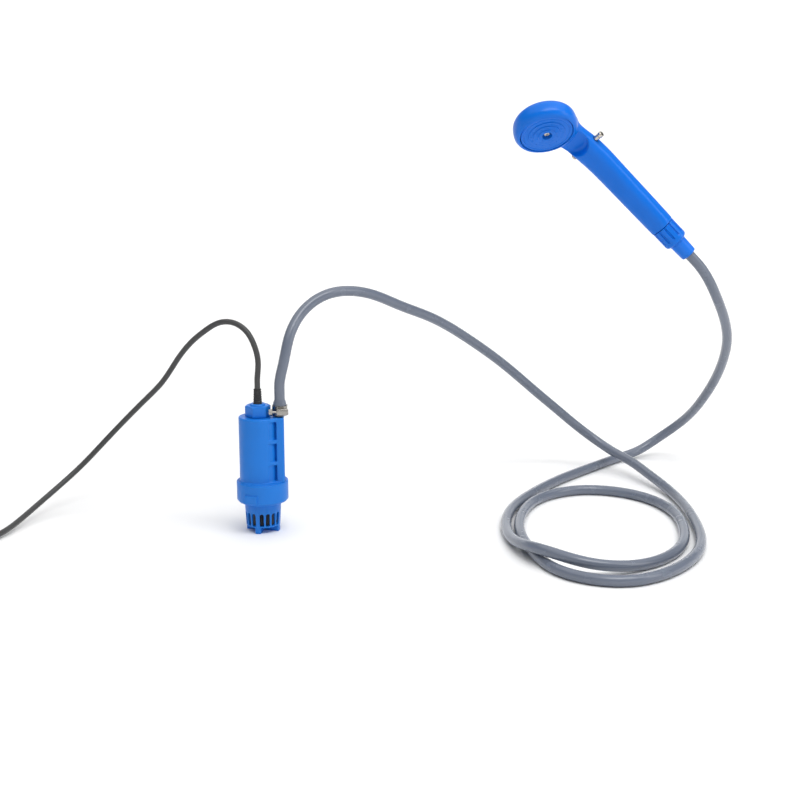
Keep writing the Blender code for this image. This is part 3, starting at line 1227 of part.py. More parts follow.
def lighter_plug(start):
    """A 12 V lighter plug: two screwed halves, a sprung tip on a fuse, and two side contacts."""
    axis = frame("plug_axis", start + Vector((0, GAP, 0)), (0, 1, 0), (1, 0, 0))
    grip_low = RELIEF_LENGTH
    grip_high = grip_low + PLUG_GRIP_LENGTH
    nose_high = grip_high + PLUG_NOSE_LENGTH
    make_object("plug_strain_relief", lathe((
        (0, 0), (RELIEF_RADIUS, 0), (RELIEF_ROOT_RADIUS, RELIEF_LENGTH - GAP), (0, RELIEF_LENGTH - GAP),
    ), 16), "rubber", axis)

    bore_low = grip_low + PLUG_BORE_AT
    contact_middle = grip_high + 0.55 * PLUG_NOSE_LENGTH
    window = CONTACT_LENGTH / 2 + 0.0012
    for name, side in (("plug_half_left", -1), ("plug_half_right", 1)):
        half = make_object(name, lathe((
            (0, grip_low), (0.66 * PLUG_GRIP_RADIUS, grip_low), (0.92 * PLUG_GRIP_RADIUS, grip_low + 0.0040),
            (PLUG_GRIP_RADIUS, grip_low + 0.0110), (PLUG_GRIP_RADIUS, grip_high), (PLUG_NOSE_RADIUS, grip_high),
            (PLUG_NOSE_RADIUS, nose_high), (PLUG_BORE_RADIUS, nose_high), (PLUG_BORE_RADIUS, bore_low), (0, bore_low),
        ), 20), "black", axis, 30.0)
        reach = 2 * PLUG_GRIP_RADIUS
        keep = make_object(name + "_cutter", block(
            (-side * (reach - GAP) / 2, 0, nose_high / 2), (reach, 2 * reach, 2 * nose_high),
        ), None, axis)
        combine(half, keep)
        slot = make_object(name + "_window", block(
            (side * PLUG_NOSE_RADIUS, 0, contact_middle), (PLUG_NOSE_RADIUS, CONTACT_WIDTH + 2 * GAP, 2 * window),
        ), None, axis)
        combine(half, slot)
    screw_z = grip_low + PLUG_SCREW_AT
    screw = make_object("plug_screw", lathe((
        (0, -PLUG_GRIP_RADIUS + 0.0022), (PLUG_SCREW_RADIUS, -PLUG_GRIP_RADIUS + 0.0022),
        (PLUG_SCREW_RADIUS, PLUG_GRIP_RADIUS - 0.0028), (2 * PLUG_SCREW_RADIUS, PLUG_GRIP_RADIUS - 0.0026),
        (2 * PLUG_SCREW_RADIUS, PLUG_GRIP_RADIUS - 0.0010), (0, PLUG_GRIP_RADIUS - 0.0008),
    ), 12), "steel", axis)
    across = Matrix.Translation((0, 0, screw_z)) @ Matrix.Rotation(math.pi / 2, 4, "Y")
    screw.matrix_local = across
    for name in ("plug_half_left", "plug_half_right"):
        hole = make_object(name + "_screw_hole", lathe((
            (0, -PLUG_GRIP_RADIUS + 0.0019), (PLUG_SCREW_RADIUS + GAP, -PLUG_GRIP_RADIUS + 0.0019),
            (PLUG_SCREW_RADIUS + GAP, PLUG_GRIP_RADIUS - 0.0031),
            (2 * PLUG_SCREW_RADIUS + GAP, PLUG_GRIP_RADIUS - 0.0031),
            (2 * PLUG_SCREW_RADIUS + GAP, PLUG_GRIP_RADIUS + THROUGH), (0, PLUG_GRIP_RADIUS + THROUGH),
        ), 12), None, axis)
        hole.matrix_local = across
        combine(bpy.data.objects[name], hole)

    ring_low = nose_high + GAP
    ring_high = ring_low + NOSE_RING_LENGTH
    make_object("plug_nose_ring", lathe((
        (TIP_RADIUS + TURN_GAP, ring_high - 0.0016), (TIP_FLANGE + TURN_GAP, ring_high - 0.0016),
        (TIP_FLANGE + TURN_GAP, ring_low), (PLUG_NOSE_RADIUS, ring_low), (PLUG_NOSE_RADIUS, ring_high - 0.0030),
        (0.78 * PLUG_NOSE_RADIUS, ring_high), (TIP_RADIUS + TURN_GAP, ring_high),
    ), 20), "nickel", axis)
    flange_high = ring_high - 0.0016 - GAP
    flange_low = flange_high - 0.0012
    tip_end = ring_high + TIP_REACH
    make_object("plug_tip", lathe((
        (0, flange_low), (TIP_FLANGE, flange_low), (TIP_FLANGE, flange_high), (TIP_RADIUS, flange_high),
        (TIP_RADIUS, tip_end - 0.0030), (0.70 * TIP_RADIUS, tip_end - 0.0009), (0, tip_end),
    ), 20), "nickel", axis)
    fuse_high = flange_low - GAP
    fuse_low = fuse_high - FUSE_LENGTH
    make_object("plug_fuse", rod(FUSE_RADIUS, fuse_low, fuse_high, 16), "glass", axis)
    spring_low = bore_low + GAP + SPRING_WIRE
    spring_high = fuse_low - GAP - SPRING_WIRE
    steps = 8 * SPRING_TURNS
    coil = [axis.matrix_world @ polar(SPRING_RADIUS, 2 * math.pi * SPRING_TURNS * i / steps,
                                      spring_low + (spring_high - spring_low) * i / steps)
            for i in range(steps + 1)]
    tube("tip_spring", coil, SPRING_WIRE, "steel", 0)

    steps = 8
    for name, side in (("side_contact_left", -1), ("side_contact_right", 1)):
        outline = []
        for shift in (0.0, CONTACT_THICKNESS):
            line = []
            for i in range(steps + 1):
                share = i / steps
                bow = math.sin(math.pi * share) ** 1.5
                foot = PLUG_NOSE_RADIUS - 0.0022
                line.append((foot + shift + (CONTACT_BULGE + 0.0015) * bow,
                             contact_middle + CONTACT_LENGTH * (share - 0.5)))
            outline += line if shift == 0.0 else line[::-1]
        make_object(name, loft([[Vector((side * x, y, z)) for x, z in outline]
                                for y in (-CONTACT_WIDTH / 2, CONTACT_WIDTH / 2)]), "nickel", axis)


def main():
    clear_scene()
    make_materials()
    handset = handset_frames()
    bpy.context.view_layer.update()
    handset_shell(handset)
    spray_plate(handset)
    push_valve(handset)
    hose_top, hose_direction = union_joint(handset)

    pump = pump_frames()
    bpy.context.view_layer.update()
    pump_housing(pump)
    lower_casing(pump)
    strainer(pump)
    cap_high = motor(pump)[1]
    rotor(pump, cap_high)
    cable_start = gland(pump)
    hose_start = hose_outlet(pump)

    hose = cord_path(hose_start, (0, 0, 1), HOSE_ROUTE, hose_top, -hose_direction, HOSE_RADIUS, HOSE_SAMPLES)
    tube("hose", hose, HOSE_RADIUS, "hose", 2)
    print(f"hose: {path_length(hose):.3f} m")

    plug_start = cable_and_coil(cable_start)
    coil_tie()
    lighter_plug(plug_start)
    bpy.context.view_layer.update()


main()
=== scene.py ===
import json
import math

import bmesh
import bpy
import numpy as np
from mathutils import Matrix, Vector


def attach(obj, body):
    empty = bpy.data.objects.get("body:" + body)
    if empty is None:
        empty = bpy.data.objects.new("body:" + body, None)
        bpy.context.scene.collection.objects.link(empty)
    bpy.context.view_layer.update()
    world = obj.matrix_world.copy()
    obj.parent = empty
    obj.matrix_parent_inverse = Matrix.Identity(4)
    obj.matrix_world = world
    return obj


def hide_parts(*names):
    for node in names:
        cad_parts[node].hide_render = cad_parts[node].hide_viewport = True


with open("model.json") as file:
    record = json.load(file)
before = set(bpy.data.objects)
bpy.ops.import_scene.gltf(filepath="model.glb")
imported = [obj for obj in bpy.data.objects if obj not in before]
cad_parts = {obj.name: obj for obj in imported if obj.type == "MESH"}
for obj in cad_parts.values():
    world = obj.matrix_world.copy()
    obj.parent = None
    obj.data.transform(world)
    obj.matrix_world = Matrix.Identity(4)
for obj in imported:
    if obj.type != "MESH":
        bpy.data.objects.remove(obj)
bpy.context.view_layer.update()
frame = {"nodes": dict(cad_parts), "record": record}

GAP = 0.0003
OVERLAP = 0.0006

# The camera stands where the photograph's did
CAMERA_AT = Vector((-0.221, -1.263, 0.079))
CAMERA_TILT = math.radians(12.5)
FOCAL_PIXELS = 1312.0
IMAGE_PIXELS = 800.0
SENSOR_MM = 36.0

# Ground that the pump and the cords stand and lie on
GROUND_Z = -0.314

# Handset
GRIP_DIRECTION = Vector((0.799, 0.2455, -0.549))
FRONT_DIRECTION = Vector((-0.175, -0.7785, -0.603))
BEND_RADIUS = 0.135
BEND_LENGTH = 0.075
NECK_TILT = math.radians(-13.6)
HEAD_TILT = math.radians(-22.0)
HEAD_FORWARD = 0.0109
HEAD_BEYOND = 0.0033
GRIP_AT = 0.1112
TAIL_AT = 0.1541
HANDLE_SECTIONS = (     # along the middle line, half width, front depth, rear depth
    (0.0130, 0.0225, 0.0110, 0.0034),
    (0.0195, 0.0205, 0.0100, 0.0050),
    (0.0230, 0.0179, 0.0094, 0.0058),
    (0.0260, 0.0161, 0.0092, 0.0064),
    (0.0310, 0.0146, 0.0094, 0.0076),
    (0.0370, 0.0139, 0.0099, 0.0087),
    (0.0480, 0.0139, 0.0107, 0.0100),
    (0.0620, 0.0136, 0.0109, 0.0104),
    (0.0820, 0.0131, 0.0107, 0.0105),
    (0.1060, 0.0127, 0.0106, 0.0106),
    (0.1280, 0.0124, 0.0107, 0.0107),
    (0.1450, 0.0120, 0.0109, 0.0109),
    (0.1541, 0.0116, 0.0112, 0.0112),
)
HANDLE_SQUARENESS = 2.5
SCOOP_RADIUS = 0.0148
SCOOP_AT = 0.0305
SCOOP_FLOOR = 0.0052
SCOOP_TILT = math.radians(-9.0)
SCOOP_FILLET = 0.0042
HANDSET_VOXEL = 0.0006
NECK_CALM = (0.008, 0.016, 0.026, 0.036)    # along the middle line: starts, full, fades, ends
NECK_CALM_PASSES = 90
DOME_POWER = 0.62
HEAD_RADIUS = 0.0301
HEAD_BACK = 0.0150
HEAD_FRONT = 0.0078
PLATE_RADIUS = 0.0243
PLATE_SEAT = 0.0030
SEAT_WIDTH = 0.0017
GASKET_THICKNESS = 0.0009
PLATE_THICKNESS = 0.0024
PLATE_STEP = 0.0008
PLATE_STEP_RADII = (0.0172, 0.0130, 0.0085)
SPRAY_RINGS = ((0.0151, 14), (0.0108, 10), (0.0066, 6))
SPRAY_HOLE_RADIUS = 0.00042
RECESS_RADIUS = 0.00475
RECESS_DEPTH = 0.0038
SCREW_HEAD_RADIUS = 0.0033
SCREW_HEAD_HEIGHT = 0.0017
SCREW_SHANK_RADIUS = 0.0014

# Push valve
VALVE_AT = 0.0479
VALVE_DEPTH = 0.0004
SPOOL_RADIUS = 0.0026
SPOOL_TOP = 0.0224
SPOOL_BOTTOM = -0.0148
SPOOL_HEAD_RADIUS = 0.0029
SPOOL_HEAD_LENGTH = 0.0032
END_CAP_LENGTH = 0.0026

# Union nut and hose tail
THREAD_RADIUS = 0.0096
THREAD_LENGTH = 0.0080
THREAD_DEPTH = 0.0009
THREAD_LEAD = 0.0025
TAIL_BORE_RADIUS = 0.0045
NUT_RADIUS = 0.01185
NUT_LENGTH = 0.0200
NUT_FLUTES = 12
FLUTE_STEPS = 20
FLUTE_DEPTH = 0.0013
FLUTE_SHARE = 0.40
NUT_LIP_LENGTH = 0.0052
COLLAR_RADIUS = 0.0085
COLLAR_END_RADIUS = 0.0076
COLLAR_LENGTH = 0.0378
SOCKET_REACH = 0.0015
HOSE_RADIUS = 0.0050

# Pump
PUMP_AT = Vector((-0.3545, -0.0620, GROUND_Z))
PUMP_TURN = math.radians(6.0)
LOWER_AXIS_X = 0.0028
HOUSING_RADIUS = 0.0184
HOUSING_BOTTOM = 0.0493
HOUSING_TOP = 0.1113
RISER_RIGHT = 0.0241
RISER_HALF_WIDTH = 0.0122
RISER_LEFT = 0.0165
RISER_CORNER = 0.0022
RIB_THICKNESS = 0.0034
RIB_LEVELS = (0.0680, 0.0890)
POCKET_BOTTOM = 0.0508
POCKET_TOP = 0.1078
POCKET_SINK = 0.0005
MOTOR_BORE_RADIUS = 0.0146
MOTOR_BORE_TOP = 0.0990
SPIGOT_X = 0.0205
SPIGOT_LENGTH = 0.0155
COLLAR_SHELL_RADIUS = 0.0244
COLLAR_SHELL_WALL = 0.0020
COLLAR_BOTTOM = 0.0296
COLLAR_FLANGE = 0.0029
COLLAR_LIP = 0.0016
PAD_WIDTH = 0.0125
PAD_HEIGHT = 0.0078
PAD_TURN = math.radians(-117.0)
STRAINER_TOP_RADIUS = 0.0174
STRAINER_FOOT_RADIUS = 0.0161
STRAINER_BOTTOM = 0.0057
STRAINER_WALL = 0.0016
NECK_RADIUS = 0.0150
NECK_TOP = 0.0345
FIN_COUNT = 4
FIN_FIRST = math.radians(-109.5)
FIN_ROOT_WIDTH = 0.0016
FIN_FOOT_WIDTH = 0.0055
SLOTS_BETWEEN_FINS = 4
SLOT_PITCH = math.radians(20.7)
SLOT_WIDTH = 0.0039
SLOT_BOTTOM = 0.0071
SLOT_TOP = 0.0196
GLAND_ACROSS_FLATS = 0.0212
GLAND_HEX_HEIGHT = 0.0104
GLAND_DOME = 0.0015
GLAND_CORNER_ANGLE = math.radians(7.0)
SLEEVE_RADIUS = 0.0041
SLEEVE_TOP_RADIUS = 0.0036
SLEEVE_ABOVE_NUT = 0.0140
HOSE_ON_SPIGOT = 0.0063
HOSE_END_LENGTH = 0.0185
CLAMP_BOTTOM = 0.0005
CLAMP_WIDTH = 0.0094
CLAMP_BAND = 0.0006
CLAMP_BOX = Vector((0.0112, 0.0036, 0.0058))
CLAMP_SCREW_RADIUS = 0.0016
CLAMP_SCREW_HEAD = 0.0032
CLAMP_SCREW_HEAD_LENGTH = 0.0033

# Cable, coil and plug
CABLE_RADIUS = 0.0027
COIL_CENTRE = Vector((-0.6740, -0.1900))
COIL_INNER = 0.0215
COIL_PITCH = 0.0060
COIL_TURNS = 5.5
TIE_WIDTH = 0.0080
TIE_THICKNESS = 0.0008
TIE_SLACK = 0.0016
PLUG_LEAD = 0.0480
RELIEF_LENGTH = 0.0220
RELIEF_RADIUS = 0.0036
RELIEF_ROOT_RADIUS = 0.0056
PLUG_GRIP_RADIUS = 0.0125
PLUG_GRIP_LENGTH = 0.0280
PLUG_NOSE_RADIUS = 0.0104
PLUG_NOSE_LENGTH = 0.0320
PLUG_BORE_RADIUS = 0.0066
PLUG_BORE_AT = 0.0115
PLUG_SCREW_AT = 0.0065
PLUG_SCREW_RADIUS = 0.0017
NOSE_RING_LENGTH = 0.0060
TIP_RADIUS = 0.0039
TIP_REACH = 0.0055
TIP_FLANGE = 0.0056
CONTACT_WIDTH = 0.0048
CONTACT_LENGTH = 0.0180

HOSE_STEPS = 760
CABLE_STEPS = 420
SQUARE = ((-1, -1), (1, -1), (1, 1), (-1, 1))

# Routes of the free stretches, in metres
HOSE_ROUTE = (
    (-0.3303, -0.0585, -0.1544),
    (-0.3250, -0.0517, -0.1301),
    (-0.3171, -0.0400, -0.1130),
    (-0.3058, -0.0300, -0.1012),
    (-0.2906, -0.0200, -0.0935),
    (-0.2687, -0.0050, -0.0922),
    (-0.2464, 0.0120, -0.0985),
    (-0.2220, 0.0320, -0.1113),
    (-0.1904, 0.0600, -0.1277),
    (-0.1474, 0.0980, -0.1581),
    (-0.1076, 0.1280, -0.1912),
    (-0.0727, 0.1460, -0.2232),
    (-0.0431, 0.1580, -0.2497),
    (-0.0194, 0.1641, -0.2701),
    (-0.0006, 0.1599, -0.2835),
    (0.0146, 0.1481, -0.2919),
    (0.0306, 0.1235, -0.2967),
    (0.0432, 0.0940, -0.3015),
    (0.0556, 0.0596, -0.3065),
    (0.0635, 0.0070, -0.3087),
    (0.0630, -0.0600, -0.3090),
    (0.0500, -0.1330, -0.3090),
    (0.0160, -0.1890, -0.3090),
    (-0.0330, -0.2170, -0.3090),
    (-0.0760, -0.2000, -0.3090),
    (-0.1010, -0.1450, -0.3090),
    (-0.1080, -0.0850, -0.3090),
    (-0.1000, -0.0250, -0.3090),
    (-0.0710, 0.0320, -0.3090),
    (-0.0290, 0.0540, -0.3090),
    (0.0160, 0.0400, -0.3090),
    (0.0450, -0.0050, -0.3090),
    (0.0480, -0.0730, -0.3090),
    (0.0270, -0.1410, -0.3090),
    (-0.0130, -0.1800, -0.3080),
    (-0.0600, -0.1910, -0.3020),
    (-0.0930, -0.1720, -0.2980),
    (-0.1150, -0.1250, -0.3050),
    (-0.1200, -0.0750, -0.3090),
    (-0.1120, -0.0200, -0.3090),
    (-0.0850, 0.0400, -0.3090),
    (-0.0454, 0.0989, -0.3090),
    (-0.0021, 0.1500, -0.3090),
    (0.0310, 0.1860, -0.3088),
    (0.0555, 0.2019, -0.3044),
    (0.0748, 0.2070, -0.2936),
    (0.0965, 0.1994, -0.2746),
    (0.1115, 0.1650, -0.2433),
    (0.1194, 0.1300, -0.2087),
    (0.1200, 0.0950, -0.1757),
    (0.1153, 0.0680, -0.1508),
    (0.1046, 0.0420, -0.1259),
    (0.0893, 0.0168, -0.1001),
)
CABLE_ROUTE = (
    (-0.3535, -0.0600, -0.1514),
    (-0.3572, -0.0570, -0.1358),
    (-0.3648, -0.0530, -0.1233),
    (-0.3764, -0.0480, -0.1165),
    (-0.3904, -0.0420, -0.1170),
    (-0.4048, -0.0350, -0.1253),
    (-0.4201, -0.0250, -0.1381),
    (-0.4373, -0.0120, -0.1586),
    (-0.4539, 0.0000, -0.1819),
    (-0.4727, 0.0120, -0.2016),
    (-0.4957, 0.0220, -0.2244),
    (-0.5204, 0.0260, -0.2498),
    (-0.5431, 0.0170, -0.2729),
    (-0.5619, -0.0010, -0.2890),
    (-0.5816, -0.0400, -0.3036),
    (-0.5947, -0.0850, -0.3096),
    (-0.6150, -0.1280, -0.3104),
)


def fill(node, **sockets):
    """Plain values on a node's inputs, by name, with _ for each space."""
    for name, value in sockets.items():
        node.inputs[name.replace("_", " ")].default_value = value
    return node


def blend(tree, low, high):
    """A mix of two colours: the factor is its input 0, the result its output 2."""
    node = tree.nodes.new("ShaderNodeMix")
    node.data_type = "RGBA"
    node.inputs[6].default_value = (*low, 1.0)
    node.inputs[7].default_value = (*high, 1.0)
    return node


def surface(
    name, colour, rough, metallic=0.0, mottle=0.05, mottle_scale=45.0, grain=0.0, grain_scale=1400.0,
    coat=0.0, subsurface=0.0, stretch=(1.0, 1.0, 1.0), rough_spread=0.10, specular=0.5, edge_wear=0.0,
):
    """A moulded, plated or rubber finish: slow colour mottling, uneven gloss and a fine grain."""
    made = bpy.data.materials.new(name)
    made.use_nodes = True
    tree = made.node_tree
    shader = fill(
        tree.nodes["Principled BSDF"], Metallic=metallic, Coat_Weight=coat, Coat_Roughness=0.08,
        Specular_IOR_Level=specular, Subsurface_Weight=subsurface, Subsurface_Radius=(0.002, 0.002, 0.004),
        Subsurface_Scale=1.0,
    )

    def link(output, node, socket):
        tree.links.new(output, node.inputs[socket])

    place = tree.nodes.new("ShaderNodeTexCoord")
    mapping = fill(tree.nodes.new("ShaderNodeMapping"), Scale=stretch)
    link(place.outputs["Object"], mapping, "Vector")

    def clouds(scale, detail, rough_steps=0.55):
        cloud = fill(tree.nodes.new("ShaderNodeTexNoise"), Scale=scale, Detail=detail, Roughness=rough_steps)
        link(mapping.outputs["Vector"], cloud, "Vector")
        return cloud.outputs["Fac"]

    tint = blend(tree, [c * (1 - mottle) for c in colour], [min(1.0, c * (1 + mottle)) for c in colour])
    link(clouds(mottle_scale, 4.0), tint, 0)
    colour_out = tint.outputs[2]
    if edge_wear > 0.0:
        worn = tree.nodes.new("ShaderNodeNewGeometry")
        ramp = fill(tree.nodes.new("ShaderNodeMapRange"), From_Min=0.52, From_Max=0.62, To_Max=edge_wear)
        link(worn.outputs["Pointiness"], ramp, "Value")
        lighter = blend(tree, colour, [min(1.0, 1.25 * c + 0.04) for c in colour])
        link(ramp.outputs["Result"], lighter, 0)
        link(colour_out, lighter, 6)
        colour_out = lighter.outputs[2]
    link(colour_out, shader, "Base Color")

    gloss = fill(
        tree.nodes.new("ShaderNodeMapRange"), From_Min=0.25, From_Max=0.75,
        To_Min=max(0.03, rough - rough_spread / 2), To_Max=min(1.0, rough + rough_spread / 2),
    )
    link(clouds(mottle_scale * 2.3, 6.0), gloss, "Value")
    link(gloss.outputs["Result"], shader, "Roughness")

    if grain > 0.0:
        bump = fill(tree.nodes.new("ShaderNodeBump"), Strength=grain, Distance=0.0002)
        link(clouds(grain_scale, 3.0, 0.5), bump, "Height")
        link(bump.outputs["Normal"], shader, "Normal")
    return made


FINISHES = {
    "bright_blue": surface("bright_blue_abs", (0.001, 0.148, 0.66), 0.31, mottle=0.05, mottle_scale=30.0,
                           grain=0.05, grain_scale=900.0, coat=0.10, specular=0.20, edge_wear=0.20),
    "pump_blue": surface("pump_blue_abs", (0.006, 0.175, 0.64), 0.38, mottle=0.07, mottle_scale=40.0,
                         grain=0.16, grain_scale=1500.0, specular=0.32, edge_wear=0.25),
    "grey_hose": surface("grey_pvc", (0.140, 0.163, 0.213), 0.25, mottle=0.06, mottle_scale=25.0,
                         grain=0.02, grain_scale=160.0, coat=0.20),
    "dark_cable": surface("dark_pvc", (0.055, 0.055, 0.056), 0.42, mottle=0.12, mottle_scale=60.0,
                          grain=0.20, grain_scale=1200.0, specular=0.40),
    "black_plastic": surface("black_plastic", (0.020, 0.020, 0.022), 0.42, mottle=0.15, mottle_scale=60.0,
                             grain=0.30, grain_scale=1600.0, edge_wear=0.6),
    "black_rubber": surface("black_rubber", (0.022, 0.022, 0.023), 0.70, mottle=0.18, mottle_scale=90.0,
                            grain=0.35, grain_scale=1300.0),
    "nickel": surface("nickel_plate", (0.58, 0.54, 0.48), 0.14, 1.0, mottle=0.06, mottle_scale=120.0,
                      grain=0.05, grain_scale=2500.0, rough_spread=0.10),
    "steel": surface("stainless_steel", (0.36, 0.345, 0.32), 0.26, 1.0, mottle=0.10, mottle_scale=150.0,
                     grain=0.20, grain_scale=2200.0, stretch=(1.0, 1.0, 0.15)),
    "magnet": surface("ferrite", (0.050, 0.048, 0.046), 0.60, mottle=0.2, grain=0.4),
    "lamination": surface("laminated_iron", (0.24, 0.15, 0.09), 0.50, 0.6, mottle=0.2, grain=0.5,
                          stretch=(0.1, 0.1, 1.0)),
    "copper": surface("copper", (0.80, 0.36, 0.18), 0.30, 1.0, mottle=0.1, grain=0.2),
    "carbon": surface("carbon", (0.030, 0.030, 0.032), 0.60, mottle=0.2, grain=0.3),
    "white_plastic": surface("white_nylon", (0.75, 0.74, 0.70), 0.40, mottle=0.04, grain=0.1, subsurface=0.1),
    "fuse_glass": surface("fuse_glass", (0.60, 0.64, 0.62), 0.10, mottle=0.04, rough_spread=0.04, coat=0.5),
}


def dress(obj, slot, body="shower", replaced=()):
    """The piece gets its finish, rides its body, and stands for the CAD nodes named."""
    if obj.type == "MESH":
        obj.data.transform(obj.matrix_world)
        obj.matrix_world = Matrix.Identity(4)
    obj.data.materials.clear()
    obj.data.materials.append(FINISHES[slot])
    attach(obj, body)
    if replaced:
        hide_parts(*replaced)
    return obj


def axes(origin, z_axis, x_axis):
    z_axis = Vector(z_axis).normalized()
    y_axis = z_axis.cross(Vector(x_axis)).normalized()
    turn = Matrix((y_axis.cross(z_axis), y_axis, z_axis)).transposed()
    return Matrix.Translation(origin) @ turn.to_4x4()


def solid(name, bm, place=None, smooth=32.0):
    """An object from a bmesh, at a place in the row frame."""
    bmesh.ops.recalc_face_normals(bm, faces=bm.faces)
    mesh = bpy.data.meshes.new(name)
    bm.to_mesh(mesh)
    bm.free()
    mesh.shade_smooth()
    mesh.set_sharp_from_angle(angle=math.radians(smooth))
    made = bpy.data.objects.new(name, mesh)
    bpy.context.collection.objects.link(made)
    if place is not None:
        made.matrix_world = place
    return made


def piece(node, bm, place, slot, body="shower", smooth=32.0):
    """A finished piece that stands for the CAD node of the same name."""
    return dress(solid(node + "_form", bm, place, smooth), slot, body, [node])


def modify(target, kind, **values):
    """One more modifier on the target, which settle then makes real."""
    step = target.modifiers.new(kind.lower(), kind)
    for name, value in values.items():
        setattr(step, name, value)


def combine(target, shape, place=None, operation="DIFFERENCE"):
    """Cut a shape out of the target or join it on, and throw the shape away."""
    operand = shape if place is None else solid("operand", shape, place)
    modify(target, "BOOLEAN", operation=operation, solver="EXACT", object=operand)
    settle(target)
    bpy.data.objects.remove(operand, do_unlink=True)


def settle(target, smooth=32.0):
    """The object's mesh becomes what its modifiers make of it."""
    bpy.context.view_layer.update()
    seen = target.evaluated_get(bpy.context.evaluated_depsgraph_get())
    mesh = bpy.data.meshes.new_from_object(seen)
    target.modifiers.clear()
    old = target.data
    target.data = mesh
    bpy.data.meshes.remove(old)
    mesh.shade_smooth()
    mesh.set_sharp_from_angle(angle=math.radians(smooth))


def melt(target, voxel, passes, smooth=60.0):
    """Moulded softness: one skin over the whole shape, with every edge slightly rounded."""
    modify(target, "REMESH", mode="VOXEL", voxel_size=voxel)
    modify(target, "SMOOTH", factor=0.5, iterations=passes)
    settle(target, smooth)


def calm_zone(target, share, passes):
    """More smoothing where share(place) says, from none at 0 to all of it at 1."""
    group = target.vertex_groups.new(name="zone")
    for vert in target.data.vertices:
        weight = share(vert.co)
        if weight > 0.0:
            group.add([vert.index], weight, "REPLACE")
    modify(target, "SMOOTH", factor=0.5, iterations=passes, vertex_group=group.name)
    settle(target, 60.0)
    target.vertex_groups.clear()


def soften(target, width, segments=2, angle=35.0):
    """Rounded edges, wherever faces meet at more than the angle."""
    modify(target, "BEVEL", width=width, segments=segments, limit_method="ANGLE",
           angle_limit=math.radians(angle), harden_normals=False)
    settle(target, angle)


def rounded(profile, steps=4):
    """A profile whose points may carry a third number, the radius that rounds that corner."""
    points = []
    for i, corner in enumerate(profile):
        here = Vector(corner[:2])
        radius = corner[2] if len(corner) > 2 else 0.0
        if radius <= 0.0 or i in (0, len(profile) - 1):
            points.append(here)
            continue
        before, after = Vector(profile[i - 1][:2]), Vector(profile[i + 1][:2])
        back, ahead = (before - here).normalized(), (after - here).normalized()
        half = 0.5 * back.angle(ahead)
        reach = min(radius / math.tan(half), 0.49 * (before - here).length, 0.49 * (after - here).length)
        start, end = here + back * reach, here + ahead * reach
        for j in range(steps + 1):
            t = j / steps
            points.append(start * (1 - t) ** 2 + here * 2 * t * (1 - t) + end * t ** 2)
    return points


def lathe(profile, steps=96, fillet_steps=4):
    """Turn a profile of (radius, height) or (radius, height, fillet) about Z."""
    points = rounded(profile, fillet_steps)
    bm = bmesh.new()
    verts = [bm.verts.new((p[0], 0.0, p[1])) for p in points]
    edges = [bm.edges.new(pair) for pair in zip(verts, verts[1:])]
    if points[0][0] > 0.0 or points[-1][0] > 0.0:
        edges.append(bm.edges.new((verts[-1], verts[0])))
    bmesh.ops.spin(
        bm, geom=verts + edges, cent=(0, 0, 0), axis=(0, 0, 1), angle=2 * math.pi, steps=steps,
        use_merge=True,
    )
    bmesh.ops.remove_doubles(bm, verts=bm.verts, dist=1e-7)
    return bm


def rod(radius, low, high, steps=48, fillet=0.0):
    return lathe(((0, low), (radius, low, fillet), (radius, high, fillet), (0, high)), steps)


def ridges(start, length, count, first, last, depth, fillet, marks):
    """Rings on a taper, for lathe: marks say where each one's crest and groove start and end."""
    span = length / count
    points = []
    for i in range(count):
        radius = first + (last - first) * (i + 0.5) / count
        for mark, sunk in zip(marks, (0, 0, depth, depth)):
            points.append((radius - sunk, start + span * (i + mark), fillet))
    return points


def join(bm, loops):
    """Faces from each loop of vertices to the next."""
    count = len(loops[0])
    for near, far in zip(loops, loops[1:]):
        for i in range(count):
            j = (i + 1) % count
            bm.faces.new((near[i], near[j], far[j], far[i]))


def loft(rings, bm=None):
    """A skin over rings of points, closed at both ends."""
    bm = bm or bmesh.new()
    loops = [[bm.verts.new(point) for point in ring] for ring in rings]
    join(bm, loops)
    bm.faces.new(list(reversed(loops[0])))
    bm.faces.new(loops[-1])
    return bm


def hoop(rings):
    """A skin over rings of points whose last one joins the first."""
    bm = bmesh.new()
    loops = [[bm.verts.new(point) for point in ring] for ring in rings]
    join(bm, loops + loops[:1])
    return bm


def circle(centre, radius, count):
    turns = (2 * math.pi * i / count for i in range(count))
    return [centre + radius * Vector((math.cos(t), math.sin(t), 0)) for t in turns]


def block(centre, size, turn=0.0, bevel=0.0):
    bm = bmesh.new()
    place = Matrix.Translation(centre) @ Matrix.Rotation(turn, 4, "Z") @ Matrix.Diagonal((*size, 1))
    made = bmesh.ops.create_cube(bm, size=1.0, matrix=place)
    if bevel:
        edges = {edge for vert in made["verts"] for edge in vert.link_edges}
        bmesh.ops.bevel(bm, geom=list(edges), offset=bevel, segments=3, affect="EDGES", profile=0.5)
    return bm


def polar(radius, angle, height=0.0):
    return Vector((radius * math.cos(angle), radius * math.sin(angle), height))


def line_angle(along):
    return NECK_TILT + min(along, BEND_LENGTH) / BEND_RADIUS


def line_direction(along):
    angle = line_angle(along)
    return Vector((math.cos(angle), 0, math.sin(angle)))


def line_front(along):
    angle = line_angle(along)
    return Vector((-math.sin(angle), 0, math.cos(angle)))


def line_point(along, across=0.0, front=0.0):
    """A point by its length along the handset's middle line."""
    def on_line(length):
        return -BEND_RADIUS * line_front(length) + max(0.0, length - BEND_LENGTH) * line_direction(length)
    return on_line(along) - on_line(GRIP_AT) + Vector((0, across, 0)) + front * line_front(along)


